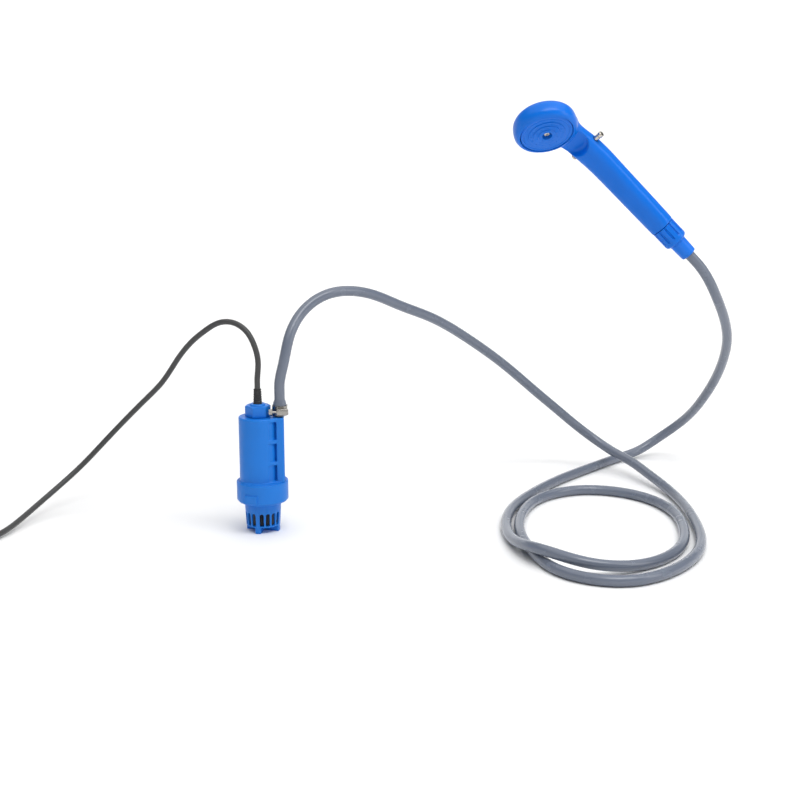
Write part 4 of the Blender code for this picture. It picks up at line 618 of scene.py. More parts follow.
HELD = axes((0, 0, 0), FRONT_DIRECTION, GRIP_DIRECTION)
HEAD = HELD @ axes(
    line_point(0, 0, HEAD_FORWARD) - HEAD_BEYOND * line_direction(0),
    (-math.sin(HEAD_TILT), 0, math.cos(HEAD_TILT)), (1, 0, 0),
)
VALVE = HELD @ axes(line_point(VALVE_AT, 0, -VALVE_DEPTH), (0, 1, 0), line_direction(VALVE_AT))
TAIL = HELD @ axes(line_point(TAIL_AT), line_direction(TAIL_AT), line_front(TAIL_AT))
TURNED = Matrix.Rotation(PUMP_TURN, 3, "Z")
PUMP = axes(PUMP_AT, (0, 0, 1), TURNED @ Vector((1, 0, 0)))
LOWER = PUMP @ Matrix.Translation((LOWER_AXIS_X, 0, 0))
OUTLET = PUMP @ Matrix.Translation((SPIGOT_X, 0, 0))

PLATE_BACK = PLATE_SEAT + GASKET_THICKNESS + 2 * GAP
PLATE_FRONT = PLATE_BACK + PLATE_THICKNESS
PLATE_CENTRE = PLATE_FRONT + PLATE_STEP * len(PLATE_STEP_RADII)


def handle_sizes(along):
    """Half width, front and rear depth, smoothly between the stated sections."""
    stations = [row[0] for row in HANDLE_SECTIONS]
    i = max(0, min(len(stations) - 2, sum(s <= along for s in stations) - 1))
    t = (along - stations[i]) / (stations[i + 1] - stations[i])
    rows = [HANDLE_SECTIONS[max(0, min(len(stations) - 1, i + k))] for k in (-1, 0, 1, 2)]
    return [
        0.5 * (2 * b + (c - a) * t + (2 * a - 5 * b + 4 * c - d) * t ** 2 + (3 * b - a - 3 * c + d) * t ** 3)
        for a, b, c, d in list(zip(*rows))[1:]
    ]


def handset_shell():
    sides, slices = 72, 64
    rings = []
    first, last = HANDLE_SECTIONS[0][0], TAIL_AT
    for j in range(slices + 1):
        along = first + (last - first) * j / slices
        half_width, front, rear = handle_sizes(along)
        points = []
        for i in range(sides):
            turn = 2 * math.pi * i / sides
            across, outward = (math.copysign(abs(x) ** (2 / HANDLE_SQUARENESS), x)
                               for x in (math.cos(turn), math.sin(turn)))
            depth = front if outward > 0 else rear
            points.append(line_point(along, half_width * across, outward * depth))
        rings.append(points)
    shell = solid("handset_shell_form", loft(rings), HELD)

    bottom = axes(line_point(SCOOP_AT), line_front(SCOOP_AT), line_direction(SCOOP_AT))
    combine(shell, lathe((
        (0, SCOOP_FLOOR), (SCOOP_RADIUS, SCOOP_FLOOR, SCOOP_FILLET), (SCOOP_RADIUS, HEAD_RADIUS),
        (0, HEAD_RADIUS),
    ), 72, 10), HELD @ bottom @ Matrix.Rotation(-SCOOP_TILT, 4, "Y"))

    waist = 0.05 * HEAD_FRONT
    dome_steps, brow_steps = 24, 10
    profile = [(0, -HEAD_BACK)]
    for i in range(1, dome_steps + 1):
        turn = math.pi / 2 * i / dome_steps
        profile.append((HEAD_RADIUS * math.sin(turn) ** DOME_POWER,
                        waist - (HEAD_BACK + waist) * abs(math.cos(turn)) ** DOME_POWER))
    brow_width = HEAD_RADIUS - PLATE_RADIUS - GAP - 0.0004
    for i in range(1, brow_steps + 1):
        turn = math.pi / 2 * i / brow_steps
        profile.append((HEAD_RADIUS - brow_width * (1 - math.cos(turn)),
                        waist + (HEAD_FRONT - waist) * math.sin(turn)))
    combine(shell, lathe((*profile, (0, HEAD_FRONT)), 144), HEAD, "UNION")
    melt(shell, HANDSET_VOXEL, 8)
    calm_zone(shell, neck_share, NECK_CALM_PASSES)

    recess = PLATE_RADIUS + 2 * GAP
    combine(shell, lathe((
        (0, PLATE_SEAT), (recess, PLATE_SEAT), (recess, HEAD_FRONT - 0.0008),
        (recess + 0.0006, HEAD_FRONT + GAP), (recess + 0.0006, HEAD_FRONT + 0.004), (0, HEAD_FRONT + 0.004),
    ), 144), HEAD)
    combine(shell, lathe((
        (0, -0.0200), (SPOOL_RADIUS + 0.0008, -0.0200), (SPOOL_RADIUS + 0.0006, 0.0200), (0, 0.0200),
    ), 40), VALVE)
    combine(shell, rod(TAIL_BORE_RADIUS, -0.010, 0.004, 48), TAIL)
    dress(shell, "bright_blue", "shower", ["handset_shell"])


def neck_share(place):
    """How much the shell softens at a place: fully beside the neck, and not at all away from it."""
    starts, full, fades, ends = NECK_CALM
    along = place.x + GRIP_AT
    return max(0.0, min(1.0, (along - starts) / (full - starts), (ends - along) / (ends - fades)))


def handset_thread():
    """The screwed mouth of the handle, which shows when the nut is run back."""
    around, pitch_steps = 60, 12
    rows = int(THREAD_LENGTH / THREAD_LEAD * pitch_steps)
    start = -OVERLAP
    root = THREAD_RADIUS - THREAD_DEPTH
    rings = [circle(Vector((0, 0, start)), TAIL_BORE_RADIUS, around)]
    for j in range(rows + 1):
        height = start + (THREAD_LENGTH - start) * j / rows
        fade = min(1.0, (THREAD_LENGTH - height) / (0.4 * THREAD_LEAD))
        ring = []
        for i in range(around):
            phase = (height / THREAD_LEAD - i / around) % 1.0
            crest = min(1.0, max(0.0, 2.2 - 7.0 * abs(phase - 0.5)))
            ring.append(polar(root + THREAD_DEPTH * crest * fade, 2 * math.pi * i / around, height))
        rings.append(ring)
    rings.append(circle(Vector((0, 0, THREAD_LENGTH)), TAIL_BORE_RADIUS, around))
    dress(solid("handset_thread_form", hoop(rings), TAIL, 40.0), "bright_blue", "shower")


def plate_gasket():
    inner, outer = PLATE_RADIUS - SEAT_WIDTH, PLATE_RADIUS - GAP
    low = PLATE_SEAT + GAP
    high = low + GASKET_THICKNESS
    piece("plate_gasket", lathe((
        (inner, low), (outer, low, 0.0002), (outer, high, 0.0002), (inner, high),
    ), 96), HEAD, "black_rubber")


def spray_plate():
    edge = PLATE_RADIUS
    profile = [(SCREW_SHANK_RADIUS + GAP, PLATE_BACK), (edge, PLATE_BACK), (edge, PLATE_FRONT, 0.0006)]
    level = PLATE_FRONT
    groove, lip = 0.00035, 0.0022
    profile += [(edge - lip, level, 0.0002), (edge - lip - 0.0003, level - groove, 0.0001),
                (edge - lip - 0.0010, level - groove, 0.0001), (edge - lip - 0.0013, level, 0.0002)]
    for radius in PLATE_STEP_RADII:
        profile += [(radius + 0.0001, level, 0.00012), (radius - 0.0002, level + PLATE_STEP, 0.00030)]
        level += PLATE_STEP
    floor = level - RECESS_DEPTH
    profile += [(RECESS_RADIUS, level, 0.0004), (RECESS_RADIUS - 0.0003, floor, 0.0003),
                (SCREW_SHANK_RADIUS + GAP, floor)]
    plate = solid("spray_plate_form", lathe(profile, 144), HEAD, 28.0)
    jets = bmesh.new()
    for radius, count in SPRAY_RINGS:
        for i in range(count):
            middle = polar(radius, 2 * math.pi * (i + 0.5) / count)
            loft([circle(middle + Vector((0, 0, z)), SPRAY_HOLE_RADIUS, 16)
                  for z in (PLATE_BACK - 0.002, PLATE_FRONT, PLATE_CENTRE + 0.002)], jets)
    combine(plate, jets, HEAD)
    dress(plate, "bright_blue", "shower", ["spray_plate"])

    seat = floor + GAP
    top = seat + SCREW_HEAD_HEIGHT
    screw = solid("plate_screw_form", lathe((
        (0, floor - 0.0085), (SCREW_SHANK_RADIUS - 0.0003, floor - 0.0080),
        (SCREW_SHANK_RADIUS, floor - 0.0060), (SCREW_SHANK_RADIUS, seat), (SCREW_HEAD_RADIUS, seat, 0.0002),
        (SCREW_HEAD_RADIUS, seat + 0.0006, 0.0003), (0.70 * SCREW_HEAD_RADIUS, top - 0.0002, 0.0004),
        (0, top),
    ), 48), HEAD)
    cut_cross(screw, top, 0.00085, 0.0038, 0.0013, HEAD)
    dress(screw, "nickel", "shower", ["plate_screw"])


def cut_cross(screw, top, width, length, depth, place):
    """The four-armed recess of a cross-head screw."""
    for turn in (math.pi / 4, 3 * math.pi / 4):
        combine(screw, loft([
            [Matrix.Rotation(turn, 3, "Z") @ Vector((x * length / 2 * share, y * width / 2, z))
             for x, y in SQUARE]
            for share, z in ((0.45, top - depth), (1.0, top + 0.0005))
        ]), place)


def push_valve():
    neck = SPOOL_TOP - SPOOL_HEAD_LENGTH
    groove, waist = 0.0018, 0.0015
    piece("valve_spool", lathe((
        (0, SPOOL_BOTTOM), (SPOOL_RADIUS, SPOOL_BOTTOM, 0.0004), (SPOOL_RADIUS, -0.0094), (groove, -0.0094),
        (groove, -0.0076), (SPOOL_RADIUS, -0.0076), (SPOOL_RADIUS, -0.0030, 0.0004), (waist, -0.0030, 0.0004),
        (waist, 0.0030, 0.0004), (SPOOL_RADIUS, 0.0030, 0.0004), (SPOOL_RADIUS, 0.0076), (groove, 0.0076),
        (groove, 0.0094), (SPOOL_RADIUS, 0.0094), (SPOOL_RADIUS, neck - 0.0008, 0.0002),
        (0.78 * SPOOL_RADIUS, neck - 0.0007, 0.0002), (0.78 * SPOOL_RADIUS, neck, 0.0001),
        (SPOOL_HEAD_RADIUS, neck, 0.0003), (SPOOL_HEAD_RADIUS, SPOOL_TOP - 0.0002, 0.0009), (0, SPOOL_TOP),
    ), 64), VALVE, "nickel", "spool")
    top = SPOOL_BOTTOM - GAP
    low = top - END_CAP_LENGTH
    cap = solid("valve_end_cap_form", lathe((
        (0, low), (0.72 * SPOOL_HEAD_RADIUS, low + 0.0001, 0.0005), (SPOOL_HEAD_RADIUS, low + 0.0011, 0.0006),
        (SPOOL_HEAD_RADIUS, top - 0.0003, 0.0002), (SPOOL_RADIUS - 0.0002, top), (0, top),
    ), 64), VALVE)
    combine(cap, block((0, 0, low), (0.0070, 0.0007, 0.0014)), VALVE)
    dress(cap, "nickel", "spool", ["valve_end_cap"])


def union_joint():
    mouth = GAP + 0.0001
    bore = THREAD_RADIUS + GAP
    lip_bore = COLLAR_RADIUS + GAP
    foot = mouth + NUT_LENGTH
    lip = foot - NUT_LIP_LENGTH
    outer = rounded((
        (bore, mouth), (NUT_RADIUS, mouth, 0.0005), (NUT_RADIUS, foot - 0.0026, 0.0010),
        (NUT_RADIUS - 0.0006, foot - 0.0010, 0.0006), (NUT_RADIUS - 0.0018, foot, 0.0005), (lip_bore, foot),
    ), 4)
    fine = []
    for a, b in zip(outer, outer[1:]):
        pieces = max(1, int((b - a).length / 0.0006))
        fine += [a.lerp(b, i / pieces) for i in range(pieces)]
    fine += [outer[-1], Vector((lip_bore, lip)), Vector((bore, lip))]
    steps = NUT_FLUTES * FLUTE_STEPS
    top = foot - 0.0052
    rings = []
    for point in fine:
        ends = min(1.0, max(0.0, (top - point.y) / 0.0016))
        ends = math.sqrt(max(0.0, 1 - (1 - ends) ** 2)) if ends < 1 else 1.0
        ring = []
        for i in range(steps):
            place = abs((i % FLUTE_STEPS) / FLUTE_STEPS - 0.5) * 2
            groove = max(0.0, 1 - ((1 - place) / FLUTE_SHARE) ** 2)
            cut = FLUTE_DEPTH * groove ** 0.7 * ends if point.x > bore + 0.0008 else 0.0
            ring.append(polar(point.x - cut, 2 * math.pi * i / steps, point.y))
        rings.append(ring)
    piece("union_nut", hoop(rings), TAIL, "bright_blue", "nut", 50.0)

    end = COLLAR_LENGTH
    nipple_bore = 0.0024
    piece("hose_tail", lathe((
        (nipple_bore, 0.0115), (THREAD_RADIUS - 0.0001, 0.0115), (THREAD_RADIUS - 0.0001, 0.0130),
        (COLLAR_RADIUS, 0.0130), (COLLAR_RADIUS, foot + 0.0012, 0.0006),
        (COLLAR_RADIUS - 0.0002, foot + 0.0020, 0.0005), (COLLAR_END_RADIUS + 0.0003, end - 0.0030, 0.0012),
        (COLLAR_END_RADIUS + 0.0001, end, 0.0011), (HOSE_RADIUS + GAP, end, 0.0006),
        (HOSE_RADIUS + GAP, end - 0.0155), (nipple_bore, end - 0.0155),
    ), 96, 6), TAIL, "bright_blue", smooth=40.0)
    return TAIL @ Vector((0, 0, end - SOCKET_REACH)), TAIL.to_3x3() @ Vector((0, 0, 1))


def riser_tangent():
    reach = math.hypot(RISER_LEFT, RISER_HALF_WIDTH)
    return math.atan2(RISER_HALF_WIDTH, RISER_LEFT) + math.acos(HOUSING_RADIUS / reach)


def housing_outline(height, inset=0.0):
    tangent = riser_tangent()
    round_steps, corner_steps = 72, 10
    right, half = RISER_RIGHT - inset, RISER_HALF_WIDTH - inset
    points = [polar(HOUSING_RADIUS - inset, tangent + 2 * (math.pi - tangent) * i / round_steps, height)
              for i in range(round_steps + 1)]
    points.append(Vector((RISER_LEFT, -half, height)))
    corner = Vector((right - RISER_CORNER, -half + RISER_CORNER, height))
    points += [corner + polar(RISER_CORNER, math.pi / 2 * (i / corner_steps - 1))
               for i in range(corner_steps + 1)]
    points += [Vector((point.x, -point.y, height)) for point in points[:round_steps:-1]]
    return points


def pocket_outline(side, height):
    near, far = riser_tangent() - math.radians(2.0), math.asin(0.55 * RISER_HALF_WIDTH / HOUSING_RADIUS)
    arc_steps = 16
    floor = HOUSING_RADIUS - POCKET_SINK
    points = [polar(HOUSING_RADIUS, near)]
    points += [polar(floor, near + (far - near) * i / arc_steps) for i in range(1, arc_steps + 1)]
    points.append(Vector((RISER_LEFT + 0.0003, RISER_HALF_WIDTH + 0.004, 0)))
    points.append(polar(HOUSING_RADIUS + 0.004, near))
    return [Vector((point.x, side * point.y, height)) for point in points]


def pump_housing():
    top = HOUSING_TOP
    housing = solid("pump_housing_form", loft([
        housing_outline(HOUSING_BOTTOM), housing_outline(top - 0.0008), housing_outline(top, 0.0006),
    ]), PUMP)
    edges = [POCKET_BOTTOM]
    for level in RIB_LEVELS:
        edges += [level - RIB_THICKNESS / 2, level + RIB_THICKNESS / 2]
    edges.append(POCKET_TOP)
    pockets = bmesh.new()
    for side in (-1, 1):
        for low, high in zip(edges[::2], edges[1::2]):
            loft([pocket_outline(side, low), pocket_outline(side, high)], pockets)
    combine(housing, pockets, PUMP)
    inner = COLLAR_SHELL_RADIUS - COLLAR_SHELL_WALL - GAP
    combine(housing, rod(inner, 0.0415, HOUSING_BOTTOM + 0.0004, 96), LOWER, "UNION")
    combine(housing, rod(0.0080, top - 0.001, top + 0.0057, 64, 0.0005), PUMP, "UNION")
    spigot_radius = 0.0044
    barbs = [(0, top - 0.001), (spigot_radius, top - 0.001)]
    for share in (0.15, 0.5):
        low = top + share * SPIGOT_LENGTH
        barbs += [(spigot_radius, low), (spigot_radius + 0.0003, low + 0.0004)]
    barbs += [(0.0038, top + SPIGOT_LENGTH), (0, top + SPIGOT_LENGTH)]
    combine(housing, lathe(barbs, 48), OUTLET, "UNION")
    combine(housing, rod(MOTOR_BORE_RADIUS, 0.0400, MOTOR_BORE_TOP, 64), PUMP)
    melt(housing, 0.00045, 4)
    dress(housing, "pump_blue", "shower", ["pump_housing"])


def lower_casing():
    low, high = COLLAR_BOTTOM, HOUSING_BOTTOM - 0.0001
    outer = COLLAR_SHELL_RADIUS
    inner = outer - COLLAR_SHELL_WALL
    opening = NECK_RADIUS + GAP
    casing = solid("lower_casing_form", lathe((
        (opening, low), (outer - 0.0014, low, 0.0010), (outer - 0.0008, low + COLLAR_LIP, 0.0002),
        (outer, low + COLLAR_LIP + 0.0003, 0.0003), (outer, high, 0.0018), (inner, high),
        (inner, low + COLLAR_FLANGE), (opening, low + COLLAR_FLANGE),
    ), 160, 8), LOWER, 40.0)
    pad = block(
        polar(outer - 0.0006, PAD_TURN, low + COLLAR_LIP + 0.0006 + PAD_HEIGHT / 2),
        (0.0026, PAD_WIDTH, PAD_HEIGHT), PAD_TURN, 0.0002,
    )
    combine(casing, pad, LOWER, "UNION")
    settle(casing, 40.0)
    dress(casing, "pump_blue", "shower", ["lower_casing"])


def strainer():
    top = COLLAR_BOTTOM - GAP
    low = STRAINER_BOTTOM
    wall = STRAINER_WALL
    neck_inner = NECK_RADIUS - wall
    cup = solid("strainer_form", lathe((
        (0, low), (STRAINER_FOOT_RADIUS, low, 0.0008), (STRAINER_TOP_RADIUS, top, 0.0003), (NECK_RADIUS, top),
        (NECK_RADIUS, NECK_TOP), (neck_inner, NECK_TOP), (neck_inner, top - wall, 0.0006),
        (STRAINER_FOOT_RADIUS - wall, low + wall, 0.0008), (0, low + wall),
    ), 128), LOWER)
    slots = bmesh.new()
    half = SLOT_WIDTH / 2
    outline = [(-half, SLOT_BOTTOM), (half, SLOT_BOTTOM)]
    outline += [(half * math.cos(math.pi * i / 14), SLOT_TOP - half + half * math.sin(math.pi * i / 14))
                for i in range(15)]
    sector = 2 * math.pi / FIN_COUNT
    for i in range(FIN_COUNT):
        for j in range(SLOTS_BETWEEN_FINS):
            angle = FIN_FIRST + sector * (i + 0.5) + SLOT_PITCH * (j - (SLOTS_BETWEEN_FINS - 1) / 2)
            out, side = polar(1, angle), polar(1, angle + math.pi / 2)
            loft([[out * reach + side * across + Vector((0, 0, height)) for across, height in outline]
                  for reach in (neck_inner - 0.001, STRAINER_TOP_RADIUS + 0.004)], slots)
    combine(cup, slots, LOWER)
    star = []
    reach = STRAINER_FOOT_RADIUS - 0.0002
    for i in range(FIN_COUNT):
        angle = FIN_FIRST + sector * i
        out, side = polar(reach, angle), polar(FIN_FOOT_WIDTH / 2, angle + math.pi / 2)
        star += [out - side, out + side, polar(FIN_ROOT_WIDTH, angle + sector / 2)]
    fins = loft([[point + Vector((0, 0, height)) for point in star] for height in (0.0, low + 0.0006)])
    combine(cup, fins, LOWER, "UNION")
    melt(cup, 0.0004, 2)
    dress(cup, "pump_blue", "strainer_cup", ["strainer"])

    screen_radius = STRAINER_FOOT_RADIUS - wall - 0.0012
    pleats, depth = 40, 0.0005
    rings = []
    foot, head = low + wall + GAP, SLOT_TOP + 0.0030
    for reach, height in ((0.0, foot), (depth, foot), (depth, head), (0.0, head)):
        ring = []
        for i in range(4 * pleats):
            fold = depth * math.cos(math.pi / 2 * i)
            ring.append(polar(screen_radius - 0.0008 + reach + fold, math.pi / 2 * i / pleats, height))
        rings.append(ring)
    dress(solid("filter_screen", loft(rings), LOWER, 20.0), "black_plastic", "strainer_cup")


def gland():
    bottom = HOUSING_TOP + GAP
    hex_top = bottom + GLAND_HEX_HEIGHT
    corner = GLAND_ACROSS_FLATS / math.sqrt(3)
    hexagon = [polar(corner, GLAND_CORNER_ANGLE + math.pi / 3 * i) for i in range(6)]
    nut = solid("gland_nut_form", loft([[Vector((p.x, p.y, z)) for p in hexagon]
                                        for z in (bottom, hex_top + 0.0006)]), PUMP)
    soften(nut, 0.0006, 4)
    flats = GLAND_ACROSS_FLATS / 2
    combine(nut, lathe((
        (0, bottom - 0.001), (corner + 0.001, bottom - 0.001), (corner + 0.001, hex_top - 0.0014),
        (flats - 0.0002, hex_top + 0.0001, 0.0004), (0, hex_top + 0.0001),
    ), 96), PUMP, "INTERSECT")
    start = hex_top + GLAND_DOME
    combine(nut, lathe((
        (0, hex_top - 0.001), (flats * 0.74, hex_top - 0.001), (flats * 0.74, hex_top + 0.0004, 0.0002),
        (flats * 0.66, start, 0.0006), (0, start),
    ), 96), PUMP, "UNION")
    seal_bore, sleeve_bore = 0.0083, SLEEVE_RADIUS + GAP
    combine(nut, lathe((
        (0, bottom - 0.004), (seal_bore, bottom - 0.004), (seal_bore, hex_top - 0.0020),
        (sleeve_bore, hex_top - 0.0020), (sleeve_bore, hex_top + 0.004), (0, hex_top + 0.004),
    ), 64), PUMP)
    dress(nut, "pump_blue", "shower", ["gland_nut"])

    tip = start + SLEEVE_ABOVE_NUT
    bore = CABLE_RADIUS + GAP
    foot, shoulder = 0.0077, hex_top - 0.0023
    rings = ridges(start + 0.0010, SLEEVE_ABOVE_NUT - 0.0026, 5, SLEEVE_RADIUS, SLEEVE_TOP_RADIUS,
                   0.00035, 0.0002, (0.15, 0.62, 0.72, 0.95))
    piece("gland_seal", lathe((
        (bore, HOUSING_TOP + 0.0060), (foot, HOUSING_TOP + 0.0060), (foot, shoulder),
        (SLEEVE_RADIUS, shoulder), (SLEEVE_RADIUS, start + 0.0006), *rings,
        (SLEEVE_TOP_RADIUS, tip - 0.0012, 0.0003), (SLEEVE_TOP_RADIUS - 0.0001, tip, 0.0003), (bore, tip),
    ), 64, 3), PUMP, "black_rubber")
    return PUMP @ Vector((0, 0, tip + GAP))


def hose_outlet():
    low = HOUSING_TOP + GAP
    high = low + HOSE_END_LENGTH
    grip, bore = 0.0050, 0.0034
    band_low = low + CLAMP_BOTTOM
    band_high = band_low + CLAMP_WIDTH
    squeezed = HOSE_ON_SPIGOT - 0.0002
    piece("hose_lower_end", lathe((
        (grip, low), (HOSE_ON_SPIGOT, low, 0.0004), (HOSE_ON_SPIGOT, band_low + 0.0004),
        (squeezed, band_low + 0.0010), (squeezed, band_high - 0.0010),
        (HOSE_ON_SPIGOT, band_high + 0.0006, 0.0006), (HOSE_ON_SPIGOT - 0.0001, low + 0.0120, 0.0012),
        (HOSE_RADIUS - 0.00003, high - 0.0030, 0.0016), (HOSE_RADIUS - 0.00005, high), (bore, high),
        (bore, high - 0.002),
    ), 64, 6), OUTLET, "grey_hose")

    inner = HOSE_ON_SPIGOT + GAP
    outer = inner + CLAMP_BAND
    rim = outer + 0.0003
    band = solid("clamp_band_form", lathe((
        (inner, band_low), (rim, band_low, 0.0002), (outer, band_low + 0.0008, 0.0002),
        (outer, band_high - 0.0008, 0.0002), (rim, band_high, 0.0002), (inner, band_high),
    ), 96), OUTLET)
    slots = bmesh.new()
    middle = 0.5 * (band_low + band_high)
    count, tilt, half_width, half_length = 30, 0.10, 0.00028, 0.0024
    for i in range(count):
        angle = 2 * math.pi * i / count
        out, side = polar(1, angle), polar(1, angle + math.pi / 2)
        loft([[out * reach + side * (half_width * x + tilt * half_length * z)
               + Vector((0, 0, middle + half_length * z)) for x, z in SQUARE]
              for reach in (outer - 0.00025, outer + 0.001)], slots)
    combine(band, slots, OUTLET)
    dress(band, "steel", "shower", ["clamp_band"])

    box_at = OUTLET @ Matrix.Translation((0.0022, -(rim + GAP + CLAMP_BOX.y / 2), middle))
    along_x = box_at @ Matrix.Rotation(math.pi / 2, 4, "Y")
    housing = solid("clamp_housing_form", block((0, 0, 0), CLAMP_BOX, 0.0, 0.0009), box_at)
    combine(housing, rod(CLAMP_SCREW_RADIUS - 0.0001, -0.02, 0.02, 32), along_x)
    dress(housing, "steel", "shower", ["clamp_housing"])
    half_box = CLAMP_BOX.x / 2
    head_end = -half_box - 0.0038
    crest = CLAMP_SCREW_RADIUS - 0.0004
    shank = [(crest, head_end)]
    threads = 9
    step = (half_box - head_end - 0.0012) / threads
    for i in range(threads):
        z = head_end + 0.0006 + step * i
        shank += [(crest - 0.0002, z + 0.25 * step), (crest, z + 0.75 * step)]
    low_end = head_end - CLAMP_SCREW_HEAD_LENGTH
    screw = solid("clamp_screw_form", lathe((
        (0, low_end), (CLAMP_SCREW_HEAD - 0.0004, low_end, 0.0003),
        (CLAMP_SCREW_HEAD, low_end + 0.0005, 0.0003), (CLAMP_SCREW_HEAD, head_end, 0.0002), *shank,
        (crest - 0.0001, half_box), (0, half_box),
    ), 48), along_x)
    hexagon = [polar(CLAMP_SCREW_HEAD * 0.98, math.pi / 3 * i) for i in range(6)]
    keep = solid("hexagon", loft([[Vector((p.x, p.y, z)) for p in hexagon]
                                  for z in (low_end - 0.001, head_end + 0.0001)]), along_x)
    combine(keep, rod(CLAMP_SCREW_RADIUS + 0.0002, head_end - 0.0004, half_box + 0.001, 32), along_x, "UNION")
    combine(screw, keep, operation="INTERSECT")
    combine(screw, block((0, 0, low_end), (0.0070, 0.0009, 0.0022)), along_x)
    dress(screw, "steel", "shower", ["clamp_screw"])
    return OUTLET @ Vector((0, 0, high - SOCKET_REACH))


def cord_curve(start, ahead, route, end, onward, radius, count):
    """Evenly spaced points on a smooth curve through the route, straight at both ends."""
    ahead, onward = Vector(ahead).normalized(), Vector(onward).normalized()
    points = np.array([start + 2 * radius * ahead, *route, end - 2 * radius * onward], float)
    knots = np.concatenate([[0], np.cumsum(np.linalg.norm(np.diff(points, axis=0), axis=1))])
    step = np.diff(knots)
    slope = np.diff(points, axis=0) / step[:, None]
    slopes = np.vstack([[ahead], slope, [onward]])
    rows = len(points)
    system = np.zeros((rows, rows))
    for i in range(rows):
        if i > 0:
            system[i, i - 1:i + 1] += step[i - 1], 2 * step[i - 1]
        if i < rows - 1:
            system[i, i:i + 2] += 2 * step[i], step[i]
    bend = np.linalg.solve(system, 6 * np.diff(slopes, axis=0))

    def at(length):
        i = min(max(int(np.searchsorted(knots, length)) - 1, 0), rows - 2)
        a = (knots[i + 1] - length) / step[i]
        b = 1 - a
        return a * points[i] + b * points[i + 1] + (
            (a ** 3 - a) * bend[i] + (b ** 3 - b) * bend[i + 1]) * step[i] ** 2 / 6

    places = np.linspace(0, knots[-1], 40 * rows)
    fine = np.array([at(x) for x in places])
    along = np.concatenate([[0], np.cumsum(np.linalg.norm(np.diff(fine, axis=0), axis=1))])
    even = np.interp(np.linspace(0, along[-1], count), along, places)
    return [start, *(Vector(at(x)) for x in even), end]


def tube(name, points, radius, sides=8):
    curve = bpy.data.curves.new(name, "CURVE")
    curve.dimensions = "3D"
    curve.bevel_depth = radius
    curve.bevel_resolution = sides
    curve.use_fill_caps = True
    spline = curve.splines.new("POLY")
    spline.points.add(len(points) - 1)
    for place, point in zip(spline.points, points):
        place.co = (*point, 1.0)
    spline.use_smooth = True
    made = bpy.data.objects.new(name, curve)
    bpy.context.collection.objects.link(made)
    return made


def hose(start, end, direction):
    points = cord_curve(start, (0, 0, 1), HOSE_ROUTE, end, -direction, HOSE_RADIUS, HOSE_STEPS)
    made = tube("hose_cord", points, HOSE_RADIUS, 10)
    dress(made, "grey_hose", "shower", ["hose"])


def coil_points(per_turn=72):
    low = GROUND_Z + TIE_THICKNESS + GAP + CABLE_RADIUS
    total = 2 * math.pi * COIL_TURNS
    count = int(COIL_TURNS * per_turn)
    points = []
    for i in range(count + 1):
        turned = total * i / count
        from_middle = turned - total / 2
        radius = COIL_INNER + COIL_PITCH * abs(from_middle) / (2 * math.pi)
        climb = 0.5 + 0.5 * math.sin(max(-math.pi / 2, min(math.pi / 2, from_middle)))
        points.append(Vector((
            COIL_CENTRE.x + radius * math.cos(turned), COIL_CENTRE.y - radius * math.sin(turned),
            low + COIL_PITCH * climb,
        )))
    return points


def cable(start):
    """One cable from the gland to the plug, wound into the coil on its way."""
    wound = coil_points()
    last = wound[-1]
    rise = PLUG_GRIP_RADIUS + GROUND_Z - last.z
    lead_steps = 16
    for i in range(1, lead_steps + 1):
        share = i / lead_steps
        climb = rise * share * share * (3 - 2 * share)
        wound.append(Vector((last.x, last.y + PLUG_LEAD * share, last.z + climb)))
    entry = wound[0] + Vector((0, 2 * CABLE_RADIUS + GAP, 0))
    free = cord_curve(start, (0, 0, 1), CABLE_ROUTE, entry, (0, -1, 0), CABLE_RADIUS, CABLE_STEPS)
    points = free + wound
    made = tube("cable_cord", points, CABLE_RADIUS, 7)
    dress(made, "dark_cable", "shower", ["cable", "cable_coil"])


def plug_place():
    last = coil_points()[-1]
    return Vector((last.x, last.y + PLUG_LEAD + GAP, PLUG_GRIP_RADIUS + GROUND_Z))


def coil_tie():
    across = COIL_PITCH * COIL_TURNS / 2
    corner = CABLE_RADIUS + TIE_SLACK
    half_width = across / 2 + corner
    half_height = COIL_PITCH / 2 + CABLE_RADIUS + GAP
    middle = (COIL_CENTRE.x, COIL_CENTRE.y - COIL_INNER - across / 2, GROUND_Z + TIE_THICKNESS + half_height)
    place = axes(middle, (1, 0, 0), (0, 1, 0))

    def outline(grow):
        points = []
        radius = corner + grow
        for quarter, (sx, sy) in enumerate(((1, 1), (-1, 1), (-1, -1), (1, -1))):
            for i in range(9):
                turn = math.pi / 2 * (quarter + i / 8)
                points.append((sx * (half_width - corner) + radius * math.cos(turn),
                               sy * (half_height - corner) + radius * math.sin(turn)))
        return points

    half, full = TIE_WIDTH / 2, TIE_THICKNESS
    rim = 0.00018
    section = ((full - rim, -half), (full, -half + rim), (full, half - rim), (full - rim, half),
               (rim, half), (0.0, half - rim), (0.0, -half + rim), (rim, -half))
    rings = [[(x, y, z) for x, y in outline(grow)] for grow, z in section]
    return piece("coil_tie", hoop(rings), place, "black_plastic", smooth=50.0)


